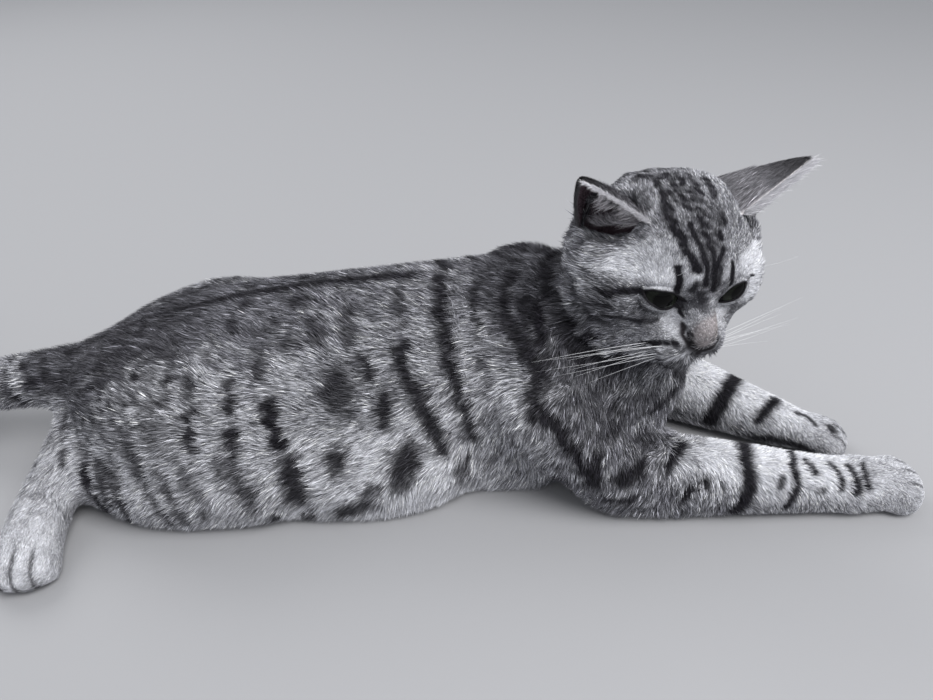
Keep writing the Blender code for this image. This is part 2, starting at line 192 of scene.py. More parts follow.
# How the coat lies and how deep and long it is on each length of the body: the way the hair points,
# the coat's depth and the hair's length in millimetres, and how pale the ground of the coat is.
COAT = {
    "head": ((-0.3, 0.2, 0.0), 2.6, 8, 0.24),
    "nose": ((-0.3, 0.2, 0.0), 1.0, 3, 0.34),
    # The neck's ground is set near slate as painted shade under the head.
    "neck": ((-0.70, 0.10, -0.70), 5.5, 8, 0.02),
    "trunk": ((-1.00, 0.00, -0.22), 6.0, 9.0, 0.25),
    "right_upper_arm": ((-0.35, -0.10, -0.92), 5.0, 8.0, 0.08),
    "left_upper_arm": ((-0.35, 0.15, -0.92), 5.0, 8.5, 0.20),
    "right_forearm": ((0.55, 0.00, -0.80), 2.8, 5.5, 0.58),
    "left_forearm": ((0.60, -0.35, -0.70), 2.8, 5.5, 0.62),
    "right_thigh": ((-0.95, -0.10, -0.20), 5.0, 9.0, 0.42),
    "left_thigh": ((-0.95, 0.10, -0.20), 5.0, 9.0, 0.34),
    "right_hock": ((-0.20, -0.80, -0.30), 3.0, 6, 0.55),
    "right_hind_foot": ((0.05, -1.00, -0.10), 2.0, 5, 0.72),
    "left_hind_foot": ((1.00, 0.10, -0.10), 2.0, 5, 0.76),
    "tail_root": ((-1.00, 0.10, -0.30), 5.0, 10, 0.24),
    "tail_middle": ((-0.85, 0.50, -0.10), 5.0, 10, 0.28),
    "tail_end": ((-0.05, 1.00, 0.00), 4.5, 10, 0.28),
}
PARTS = list(COAT)


def nearest_node(points):
    """Which of the solids each point is nearest to, by the solids' corners: |a-b|^2 = a^2 - 2ab + b^2."""
    corners = np.concatenate([copies[name][1] for name in COAT]).astype(np.float32)
    owner = np.concatenate([np.full(len(copies[name][1]), k) for k, name in enumerate(COAT)])
    squares = (corners ** 2).sum(1)
    found = np.empty(len(points), int)
    for k in range(0, len(points), 4000):
        block = points[k : k + 4000].astype(np.float32)
        found[k : k + 4000] = owner[np.argmin(squares - 2 * block @ corners.T, axis=1)]
    return found


table = np.array([(*lie, depth, length, pale) for lie, depth, length, pale in COAT.values()])
trait = eased(table[nearest_node(places)], near, 14)

# The hide lies inside the solids by the coat's depth. It goes in by small steps, eased between them, so
# that it doesn't fold. The coat is thin on the face and pressed flat where the cat lies on the floor.
own = in_head(places)
reach = np.linalg.norm(own, axis=1)
on_head = 1 - smooth_step(0.052, 0.066, reach)
on_face = on_head * smooth_step(-0.012, 0.022, own[:, 0])
normals = outward(hide, places)
depth = trait[:, 3] * (1 - 0.35 * on_face)
pressed = (1 - smooth_step(0.004, 0.016, places[:, 2])) * smooth_step(0.1, 0.7, -normals[:, 2])
depth = depth * (1 - 0.8 * pressed) / 1000
for _ in range(6):
    places = places - outward(hide, places) * depth[:, None] / 6
    places = eased(places, near, 1, (0.35 * (1 - on_head))[:, None])
creased = smooth_step(0.050, 0.060, reach) * (1 - smooth_step(0.085, 0.100, reach))
places = eased(places, near, 24, (0.5 * creased)[:, None])

# Each paw: where its toes end, which way it points and how wide it is. Three grooves part its four toes.
PAWS = (
    ((0.2755, -0.0670), (0.0775, 0.0030), 0.041),
    ((0.2500, -0.0270), (0.0480, -0.0120), 0.034),
    ((-0.2485, -0.1310), (0.0045, -0.0490), 0.040),
    ((-0.0940, 0.1010), (0.0460, 0.0050), 0.039),
)


def in_paw(points, tip, ahead):
    """How far each point is ahead of the toes' ends and how far across the paw, in metres."""
    ahead = np.array(ahead) / math.hypot(*ahead)
    off = points[:, :2] - tip
    return off @ ahead, off @ (-ahead[1], ahead[0])


at_paws = np.zeros(len(places), bool)
for tip, ahead, width in PAWS:
    past, across = in_paw(places, tip, ahead)
    at_paws |= (past > -0.034) & (past < 0.008) & (np.abs(across) < 0.7 * width)
near, places = refined(hide, at_paws)


def between_toes(points):
    """1 in the middle of each groove between two toes, falling off to its sides and behind the knuckles."""
    deepest = np.zeros(len(points))
    for tip, ahead, width in PAWS:
        past, across = in_paw(points, tip, ahead)
        here = smooth_step(-0.024, -0.012, past) * (past < 0.010) * (np.abs(across) < width)
        for k in (-1, 0, 1):
            middle = k * 0.235 * width * (1 + 5 * np.minimum(past + 0.02, 0))
            deepest = np.maximum(deepest, here * np.exp(-(((across - middle) / 0.0013) ** 2)))
    return deepest * (points[:, 2] < 0.045)


normals = outward(hide, places)
places = places - (0.0022 * between_toes(places) * (places[:, 2] > 0.004))[:, None] * normals

# The face is drawn finer than the rest: its front half, and then the eyes, nose and mouth.
own = in_head(places)
near, places = refined(hide, (np.linalg.norm(own, axis=1) < 0.066) & (own[:, 0] > 0.014))
own = in_head(places)
seen = (smooth_step(0.010, 0.018, own[:, 0]) * (np.linalg.norm(own, axis=1) < 0.066))[:, None]
places = unfaceted(places, near, 6, seen)
own = in_head(places)
fine = (own[:, 0] > 0.040) & (np.abs(own[:, 1]) < 0.016)
for side in (-1, 1):
    off = own - EYE_PLACE * (1, side, 1)
    fine |= (np.linalg.norm(off, axis=1) < EYE_RADIUS + 0.004) & (off[:, 0] > -0.002)
near, places = refined(hide, fine)
own = in_head(places)
seen = (smooth_step(0.012, 0.020, own[:, 0]) * (np.linalg.norm(own, axis=1) < 0.066))[:, None]
places = unfaceted(places, near, 4, seen)

# The crown between the ears is flatter than a ball. The skin also dips inside the cup of each ear: across
# an ear's root, a place is a half-widths along the chord of its opening and b of the way back into the cup.
EAR_FRONT = np.array([0.0080, 0.0248, 0.0320])
EAR_OUTER = np.array([-0.012, 0.0500, 0.0115])
EAR_BACKS = {-1: np.array([-0.027, 0.0370, 0.0235]), 1: np.array([-0.0285, 0.0362, 0.0238])}
EAR_TIPS = {-1: np.array([-0.0060, 0.0602, 0.0500]), 1: np.array([-0.0075, 0.0622, 0.0510])}


def in_cup(own, side):
    """1 well inside the cup's root, whose back is the parabola b = 1 - a^2, and 0 outside it."""
    chord, back = (EAR_OUTER - EAR_FRONT) / 2, EAR_BACKS[side] - (EAR_FRONT + EAR_OUTER) / 2
    axes = np.stack([chord, back, unit(np.cross(chord, back)) * 0.01], 1)
    a, b, c = np.linalg.solve(axes, ((own * (1, side, 1)) - (EAR_FRONT + EAR_OUTER) / 2).T)
    return smooth_step(0.0, 0.30, np.minimum(b + 0.08, 0.93 - a * a - b)) * (np.abs(c) < 2.6)


own = in_head(places)
CROWN_WAY = np.array([-0.42, 0.0, 0.91])
risen = smooth_step(0.026, 0.044, own @ CROWN_WAY) * (1 - smooth_step(0.008, 0.020, np.abs(own[:, 1])))
own = own - CROWN_WAY * (0.0028 * risen)[:, None]


def behind_cheeks(own, soft=0.003):
    """1 on the neck side of the cheek ruff's edge: below the jaw's line, and behind the jaw's corner, where
    it comes in over the soft length."""
    forward, height = (0.2, 1.15, 1.7, 2.36, 2.66, 3.06), (-2.7, -3.0, -3.6, -3.7, -4.15, -4.35)
    jaw = np.interp(own[:, 0] * 100, forward, height)
    below = smooth_step(0.0, 0.003, jaw / 100 - own[:, 2]) * smooth_step(0.006, 0.014, np.abs(own[:, 1]))
    behind = smooth_step(0.0, soft, -0.0100 - own[:, 0]) * smooth_step(0.026, 0.034, np.abs(own[:, 1]))
    return np.maximum(below, behind * (1 - smooth_step(0.008, 0.020, own[:, 2])))


normals = outward(hide, from_head(own)) @ HEAD_TURN
own = own - 0.0035 * (behind_cheeks(own) * (np.linalg.norm(own, axis=1) < 0.075))[:, None] * normals
normals = outward(hide, from_head(own)) @ HEAD_TURN
in_ear = np.maximum(in_cup(own, -1), in_cup(own, 1))
in_ear = eased(in_ear[:, None], near, 3)[:, 0]
own = own - 0.0040 * in_ear[:, None] * normals

# The lids: an almond opening in the skin over each eyeball. Round it the skin keeps a lid's thickness
# off the ball, and inside it the skin dips under the ball's surface. Each row is an azimuth outwards from
# the head's own forward and the elevations of the upper and lower edge there, in degrees.
LIDS = {
    -1: (
        (-46, -6, -8), (-32, 18, -16), (-9, 35, -15), (14, 39, -10), (32, 37, -1), (50, 34, 3), (62, 28, 9),
        (73, 17, 16),
    ),
    1: (
        (-42, -16, -18), (-34, 4, -25), (-25, 24, -21), (-7, 37, -11), (1, 38, -6), (15, 40, 6),
        (26, 39, 20), (34, 35, 34),
    ),
}
LID = 0.0009


def beyond_the_lids(off, side):
    """Degrees from the opening's edge, seen from the eyeball's middle: less than 0 in it, more outside."""
    azimuth = np.degrees(np.arctan2(off[:, 1] * side, off[:, 0]))
    height = np.degrees(np.arctan2(off[:, 2], np.hypot(off[:, 0], off[:, 1])))
    rows = np.array(LIDS[side], float)
    steps = np.arange(-60, 101)
    spread = np.ones(9) / 9
    upper = np.convolve(np.interp(steps, rows[:, 0], rows[:, 1]), spread, "same")
    lower = np.convolve(np.interp(steps, rows[:, 0], rows[:, 2]), spread, "same")
    past = np.maximum(height - np.interp(azimuth, steps, upper), np.interp(azimuth, steps, lower) - height)
    corner = np.maximum(np.maximum(rows[0, 0] - azimuth, azimuth - rows[-1, 0]), 0)
    return np.where(corner > 0, np.hypot(corner, np.maximum(past, 0)) + 1, past)


lid_edge = np.full(len(places), 90.0)
for side in (-1, 1):
    middle = EYE_PLACE * (1, side, 1)
    off = own - middle
    away = np.linalg.norm(off, axis=1)
    at_eye = (away < EYE_RADIUS + 0.005) & (off[:, 0] > -0.003)
    past = beyond_the_lids(off[at_eye], side)
    lid_edge[at_eye] = past
    fold = 0.0005 * np.exp(-((past - 15) / 4) ** 2)
    outside = np.maximum(away[at_eye], EYE_RADIUS + LID) - fold * (off[at_eye, 2] > 0)
    inside = EYE_RADIUS - 0.0026
    share = smooth_step(-4.5, 2.0, past)
    wanted = inside + (outside - inside) * share
    own[at_eye] = middle + off[at_eye] / away[at_eye, None] * wanted[:, None]

# Nose leather, nostrils, the groove under the nose and the line of the mouth are pressed into the same
# skin, each by a rounded groove about a line drawn on the face.
chin = np.exp(-(((own[:, 0] - 0.041) / 0.010) ** 2) - (own[:, 1] / 0.012) ** 2)
chin *= smooth_step(-0.022, -0.031, own[:, 2]) * smooth_step(-0.052, -0.044, own[:, 2])
own[:, 2] -= 0.0030 * chin
across, high = np.abs(own[:, 1] - 0.001), own[:, 2]
front = smooth_step(0.036, 0.042, own[:, 0])


def from_ball(own):
    """How far each place is from the middle of the nose's round end, in its radii, seen from the front."""
    radii = np.hypot(own[:, 1] - 0.0022, own[:, 2] + 0.0068) / 0.0095
    return radii + 2 * smooth_step(0.042, 0.034, own[:, 0])


def velvet_of(own):
    """1 on the velvet of the nose's round end, fading at its edge, and 0 behind the muzzle."""
    return (1 - smooth_step(0.75, 1.10, from_ball(own))) * (own[:, 0] > 0.034)


ball = from_ball(own)
leather = (1 - smooth_step(0.80, 1.05, ball)) * front
rounded = (1 - smooth_step(0.45, 1.0, ball)) * front
crease = np.exp(-(((ball - 1.12) / 0.13) ** 2)) * front * smooth_step(-0.0150, -0.0120, high)
along = np.clip(((across - 0.0045) * 0.0040 + (high + 0.0145) * 0.0060) / (0.0040**2 + 0.0060**2), 0, 1)
nostril = np.hypot(across - 0.0045 - 0.0040 * along, high + 0.0145 - 0.0060 * along)
nostril = np.exp(-((nostril / (0.0013 - 0.0004 * along)) ** 2)) * front
groove = np.exp(-((across / 0.0008) ** 2)) * smooth_step(-0.0285, -0.0255, high)
groove *= smooth_step(-0.0190, -0.0210, high) * front
lips = np.interp(across, (0, 0.006, 0.013, 0.021, 0.026), (-0.0275, -0.0297, -0.0300, -0.0290, -0.0270))
mouth = np.exp(-(((high - lips) / 0.0009) ** 2)) * (1 - smooth_step(0.019, 0.025, across))
mouth *= smooth_step(0.020, 0.026, own[:, 0])
pressed_in = 0.0022 * nostril + 0.0008 * groove + 0.0015 * mouth + 0.0008 * crease - 0.0008 * rounded
own = own - pressed_in[:, None] * unit(outward(hide, from_head(own)) @ HEAD_TURN)
places = from_head(own)
places[:, 2] = np.maximum(places[:, 2], 0.0008)
normals = outward(hide, places)
of_node = nearest_node(places)
trait = eased(table[of_node], near, 24)

# The markings of a spotted tabby. Each stroke is how dark it is, its width in centimetres and the points
# of its line. On the trunk a point is centimetres forward of the chest and degrees down from the spine.
# The chest is at 27 cm along the spine's line. A degree is so many centimetres of skin on each part.
TRUNK_DEGREE, ARM_DEGREE, HEAD_DEGREE = 0.11, 0.033, 0.085
SPINE = [(-0.27, 0, 0.05), (0.09, 0, 0.05)]
CHEST_ALONG = 27
TRUNK_MARKS = (
    (0.95, 0.7, (-25, 0), (-3, 0)), (0.9, 1.0, (-9.7, 10)), (0.9, 0.8, (-12.8, 8)), (0.85, 0.6, (-15.7, 9)),
    (0.85, 0.7, (-17.6, 6)), (0.8, 0.55, (-13.5, 18), (-13.4, 26)), (0.6, 0.6, (-12.3, 28), (-11.5, 28)),
    (0.7, 0.6, (-10.7, 21), (-10.6, 27)), (0.7, 1.1, (-10, 36)), (0.8, 0.6, (-14.4, 31), (-14.7, 38)),
    (0.7, 0.8, (-8.5, 24), (-8.4, 34)), (0.7, 1.0, (-6.6, 21), (-6.5, 35)),
    (0.8, 0.75, (-11.6, 41), (-11.6, 50)), (0.80, 2.0, (-7.0, 54), (-7.2, 63)),
    (1.0, 1.0, (-11.0, 65), (-10.9, 73), (-10.7, 81)), (0.95, 0.85, (-13.2, 56), (-13.1, 66)),
    (0.95, 0.85, (-13.1, 75), (-12.9, 83)), (0.85, 0.9, (-13.5, 86), (-12.9, 94), (-12.4, 103)),
    (0.85, 0.6, (-15.6, 51), (-15.3, 61)), (0.95, 0.7, (-15.2, 68), (-15.2, 77)),
    (0.7, 0.7, (-15.6, 86), (-15.6, 94), (-15.1, 99)), (0.65, 0.5, (-17.2, 60), (-17, 80)),
    (0.8, 0.55, (-17, 87), (-16.8, 101), (-16.6, 115)),
    (0.85, 0.6, (-18.8, 72), (-18.4, 80), (-18.1, 96), (-17.4, 113)),
    (0.9, 0.65, (-20.7, 93), (-20.1, 101), (-20.2, 118)),
    (1.0, 0.8, (-22.2, 98), (-21.8, 113), (-21.6, 119)), (0.8, 0.5, (-23.1, 78), (-22.5, 94)),
    (0.8, 0.5, (-24.7, 98), (-23.7, 100)), (0.95, 1.5, (-7.5, 92)), (0.95, 1.4, (-10.1, 92), (-9.9, 104)),
    (0.9, 0.8, (-11.5, 116)), (0.9, 0.9, (-9.6, 118)), (0.9, 0.9, (-7.6, 116), (-5.9, 110)),
    (0.7, 1.0, (-12.7, 104)), (0.6, 0.7, (-15.2, 108)),
    (0.95, 0.9, (-1.3, 4), (-1.2, 27), (-0.9, 45), (-0.4, 60), (-0.1, 70), (0.4, 88)),
    (0.85, 0.6, (0.7, 10), (0.7, 29)), (0.45, 0.6, (0.8, 34), (1.4, 60)),
    (0.95, 0.9, (3.0, 6), (2.5, 15), (2.3, 28), (3.1, 40), (4, 50), (3.6, 68)),
    (1.0, 1.1, (5.1, 0), (5.1, 19), (5.6, 31), (6.6, 38), (7.4, 43), (8.6, 46)),
    (0.95, 0.95, (-3.4, 39), (-3.6, 47), (-2.7, 62), (-2.0, 77), (-1.5, 94)),
    (0.75, 0.7, (-3.8, 11), (-3.5, 24)), (0.75, 0.5, (-3.4, 29)), (0.95, 0.7, (-5.7, 43), (-5.4, 51)),
    (0.95, 0.95, (-4.4, 62), (-4.7, 76)), (0.95, 1.8, (-3.9, 99), (-3.4, 94)), (0.85, 0.9, (-5.6, 104)),
    (0.85, 0.9, (-0.4, 107), (-0.2, 103)), (0.5, 0.9, (1.4, 106)), (0.6, 0.7, (2.7, 86)),
    (0.9, 0.6, (5.4, 106)), (0.6, 1.2, (-21.5, 52), (-17.6, 38)), (0.6, 0.6, (-24, 14), (-18, 18)),
    (0.55, 0.6, (-24, 32), (-20, 34)),
)
# On shoulders and thighs a point is centimetres forward of the chest and centimetres up from the floor.
SIDE_MARKS = (
    (1.0, 0.8, (3.9, 8.4), (5.0, 7.0), (5.8, 5.9), (6.4, 4.9), (7.2, 3.9)),
    (0.90, 0.9, (3.0, 12.9), (3.4, 12.2)), (0.90, 0.8, (4.3, 13.3), (4.1, 12.2), (4.1, 11.0)),
    (0.85, 1.6, (5.6, 13.6), (5.8, 11.5), (6.4, 10.2)), (0.75, 1.0, (4.2, 10.2), (4.3, 8.8)),
    (0.7, 0.7, (8.1, 7.3), (8.7, 7)), (0.65, 0.7, (7.8, 6.3), (8.6, 6.5)),
    (0.85, 0.7, (10.3, 6.6), (11.3, 7.0), (12.3, 7.5)), (0.90, 0.9, (8.5, 3.8), (9.8, 4.1)),
    (0.85, 0.7, (8.2, 2.3), (9.5, 2.4)), (0.90, 0.8, (7.1, 5.3), (7.2, 3.4)),
    (0.70, 0.6, (9.3, 5.3), (10.5, 5.1)), (0.85, 0.6, (-21.2, 4.6), (-20.9, 3.5), (-21.0, 2.4)),
    (0.75, 0.5, (-22.0, 6.4), (-21.9, 5.2), (-22.0, 4.3)),
    (0.75, 0.5, (-20.3, 7.0), (-20.0, 5.5), (-19.9, 3.8)), (0.7, 0.5, (-18.9, 7.0), (-18.6, 4.8)),
    (0.75, 1.0, (-25.0, 5.6), (-24.2, 4.3), (-24.1, 3.2)), (0.50, 0.7, (-25.5, 2.6), (-24.9, 3.0)),
)
# On a forearm a point is centimetres on from the elbow and degrees round from its top towards the right.
RIGHT_ARM = [(0.086, -0.063, 0.026), (0.198, -0.070, 0.0185), (0.275, -0.067, 0.010)]
RIGHT_ARM_MARKS = (
    (1.0, 0.95, (7.6, -40), (7.3, 17), (7.5, 49), (7.4, 84), (7.2, 120)),
    (0.95, 0.5, (10.4, -30), (10.1, 24), (10.3, 53), (10.2, 83), (10.0, 113)),
    (0.85, 0.6, (9.4, 46), (9.3, 56)), (0.9, 0.42, (11.0, 0), (11.3, 29)),
    (0.9, 0.42, (12.4, 0), (12.8, 26), (12.8, 59)), (0.7, 0.55, (11.7, 64)),
    (0.95, 0.5, (13.6, 4), (13.8, 37), (13.9, 69)), (0.95, 0.4, (14.6, -6), (14.4, 36), (14.5, 58)),
    (0.95, 0.9, (3.7, -4), (2.6, 36), (2.3, 55)), (0.95, 0.9, (4.9, 60), (3.7, 81), (3.0, 104), (3.0, 130)),
    (0.5, 0.5, (6.0, 60)),
)
LEFT_ARM = [(0.098, 0.044, 0.030), (0.202, -0.015, 0.0185), (0.250, -0.027, 0.009)]
LEFT_ARM_MARKS = (
    (1.0, 1.1, (8.8, -40), (8.6, 24), (8.4, 71), (8.2, 112)),
    (0.95, 0.75, (11.6, -14), (11.2, 35), (11.0, 68)), (0.85, 0.42, (12.8, 14), (13.6, 5), (14.2, 33)),
    (0.85, 0.8, (15.2, 20), (15.3, 34)), (0.85, 0.9, (11.0, 128), (12.7, 107), (14.3, 118)),
    (0.85, 0.8, (5.2, -30), (5.4, 20), (5.0, 70)), (0.8, 0.7, (3.0, 10), (2.8, 60)),
)
# On the head a point is centimetres to its left and degrees up from the nose towards the crown.
HEAD_MARKS_AND_CHIN_SHADOW = (
    (1.0, 0.50, (-1.38, 120), (-1.45, 104), (-1.53, 90), (-1.66, 74), (-1.54, 65), (-1.39, 58),
     (-1.15, 46), (-0.80, 35)),
    (0.95, 0.80, (-1.9, 125), (-1.2, 116), (-0.6, 118)),
    (0.95, 0.42, (-0.51, 122), (-0.72, 95), (-0.71, 77)),
    (0.90, 0.38, (-0.85, 68), (-0.7, 57), (-0.5, 45), (-0.35, 35), (-0.3, 25)),
    (0.9, 0.4, (-1.1, 100), (-1.1, 88)), (0.90, 0.40, (-0.1, 118), (-0.25, 100), (-0.2, 84)),
    (0.85, 0.42, (0.55, 118), (0.35, 100), (0.4, 90)),
    (0.90, 0.44, (-0.25, 78), (-0.2, 62), (0, 46), (0.05, 30), (0.1, 20)),
    (1.0, 0.46, (1.25, 112), (1.2, 105), (0.95, 86)), (0.95, 0.6, (0.93, 72), (0.85, 66)),
    (0.95, 0.45, (0.65, 60), (0.58, 54)), (0.95, 0.40, (0.60, 47), (0.35, 42), (0.11, 36)),
    (0.80, 0.30, (0.3, 38), (0.3, 23)), (0.95, 0.34, (1.07, 37), (1.20, 29), (1.36, 20)),
    (1.0, 0.36, (-1.60, 37), (-1.56, 29), (-1.50, 17)), (0.66, 1.5, (0.0, 42), (-0.15, 95)),
    (0.45, 1.0, (-0.1, 45), (0, 58)), (0.55, 1.2, (-2.6, 92), (-2.5, 108)), (0.6, 0.7, (4.5, 110)),
    (0.85, 0.5, (-0.95, 20), (-0.8, 25)), (0.75, 0.5, (-0.42, 17), (-0.3, 12)),
    (0.5, 0.5, (-0.75, 11), (-0.24, 9)), (1.0, 0.62, (-1.32, 9), (-1.16, 2)),
    (1.0, 0.26, (-1.10, 2), (-0.98, -3)), (0.9, 0.22, (1.25, 8), (1.2, -2)),
    (0.95, 0.62, (-3.0, 13), (-3.45, 11), (-4.0, 6), (-4.5, -4)),
    (0.70, 0.4, (-4.9, -60), (-4.7, -25), (-4.1, -12)),
    (0.80, 0.42, (-4.3, -29), (-3.5, -21), (-2.84, -18), (-2.44, -15), (-1.96, -13)),
    (0.55, 0.5, (-4.9, -75), (-4.4, -48), (-3.9, -38)), (0.45, 1.5, (-3.0, -5), (-2.3, -11)),
    (0.45, 1.6, (-4.5, 20), (-4.9, -20)), (0.95, 0.22, (2.7, 19), (3.4, 13)),
    (0.55, 1.0, (2.4, -12), (2.9, -18)),
    (0.95, 0.17, (-2.2, -40), (-2.16, -28), (-1.96, -22.5), (-1.8, -20.5)),
    (0.9, 0.14, (-1.66, -19.3), (-1.42, -18.2)), (0.9, 0.20, (-1.27, -17.4), (-1.1, -17)),
    (0.85, 0.18, (-1.87, -26), (-1.75, -24.5)), (0.5, 0.20, (-1.6, -22.5), (-1.4, -21)),
    # The two strokes at about 43 and 71 degrees down from the nose are painted shadow under the chin, not
    # markings.
    (0.5, 0.18, (-1.25, -20.5), (-0.8, -20)), (0.9, 1.1, (-0.9, -70), (-0.2, -72)),
    (0.85, 0.6, (-1.1, -43), (0.4, -44)), (0.40, 3.4, (-0.3, 70), (-0.3, 125)),
    (0.32, 1.6, (-1.2, -34), (0.3, -36)),
)
HEAD_PALES = (
    (1.0, 2.0, (-4.2, 30), (-3.2, 38), (-2.4, 36), (-2.1, 28)), (0.8, 1.6, (-3.6, 50), (-2.4, 52)),
    (1.0, 1.5, (2.2, 32), (3.2, 38), (3.9, 46)), (0.9, 0.6, (-1.15, 24), (-0.85, 30)),
    (0.9, 0.55, (0.75, 30), (0.8, 37)), (1.0, 1.1, (-1.7, 0), (-1.35, -10)),
    (0.9, 0.9, (1.6, 0), (1.6, -9)), (1.0, 0.3, (-2.75, 2), (-2.3, 0), (-1.6, -2)),
    (1.0, 0.6, (-2.0, -28), (-1.5, -24), (-0.8, -24), (0.3, -27)), (1.0, 1.6, (3.3, -5), (3.7, 30)),
    (0.4, 0.5, (-4.95, 0), (-4.95, -60), (-4.5, -66), (-3.3, -56)),
)


def about_line(points, line):
    """Where each point is about a line of straight runs: metres along it and degrees round it from its top,
    by the run it is nearest to."""
    line = np.array(line, float)
    best = np.full(len(points), 1e9)
    along, angle, begun = np.zeros(len(points)), np.zeros(len(points)), 0.0
    for k, (a, b) in enumerate(zip(line[:-1], line[1:])):
        long = np.linalg.norm(b - a)
        run = (b - a) / long
        top = unit(np.array([0, 0, 1.0]) - run * run[2])
        off = points - a
        s = off @ run
        held = np.clip(s, -1e9 if k == 0 else 0, 1e9 if k == len(line) - 2 else long)
        far = np.linalg.norm(off - held[:, None] * run, axis=1)
        nearer = far < best
        along = np.where(nearer, begun + held, along)
        angle = np.where(nearer, np.degrees(np.arctan2(off @ np.cross(run, top), off @ top)), angle)
        best = np.minimum(best, far)
        begun += long
    return along, angle


def wavy(points, size, seed):
    """A smooth random field of about -1 to 1: the mean of sixteen waves of about this length, all ways."""
    dice = np.random.default_rng(seed)
    ways = unit(dice.normal(size=(16, 3))) * (2 * np.pi / size) * dice.uniform(0.6, 1.5, (16, 1))
    return np.sin(points @ ways.T + dice.uniform(0, 6.3, 16)).sum(1) / 4


def stroked(u, v, strokes, measure):
    """How dark the strokes make each place: full in a stroke's middle, none beyond its soft edge. Measure
    is the centimetres in one degree, or 1 where the second coordinate is centimetres too."""
    dark = np.zeros(len(u))
    v = v * measure
    for strength, width, *line in strokes:
        line = np.array(line, float) * (1, measure)
        low, high = line.min(0) - width, line.max(0) + width
        close = np.flatnonzero((u > low[0]) & (u < high[0]) & (v > low[1]) & (v < high[1]))
        spot = np.stack([u[close], v[close]], -1)
        far = np.full(len(close), 1e9)
        for a, b in zip(line, line[1:] if len(line) > 1 else line):
            run = b - a
            share = np.clip((spot - a) @ run / max(run @ run, 1e-9), 0, 1)[:, None]
            far = np.minimum(far, np.linalg.norm(spot - a - share * run, axis=1))
        dark[close] = np.maximum(dark[close], strength * (1 - smooth_step(0.16 * width, 0.86 * width, far)))
    return dark


TAIL_LINE = [
    (-0.225, 0.003, 0.058), (-0.310, 0.006, 0.047), (-0.365, 0.018, 0.029), (-0.410, 0.038, 0.015),
    (-0.440, 0.070, 0.0145), (-0.452, 0.108, 0.014), (-0.446, 0.146, 0.013),
]
BLACK = np.array([0.016, 0.015, 0.019])
SLATE = np.array([0.105, 0.104, 0.118])
WHITE = np.array([0.800, 0.805, 0.850])


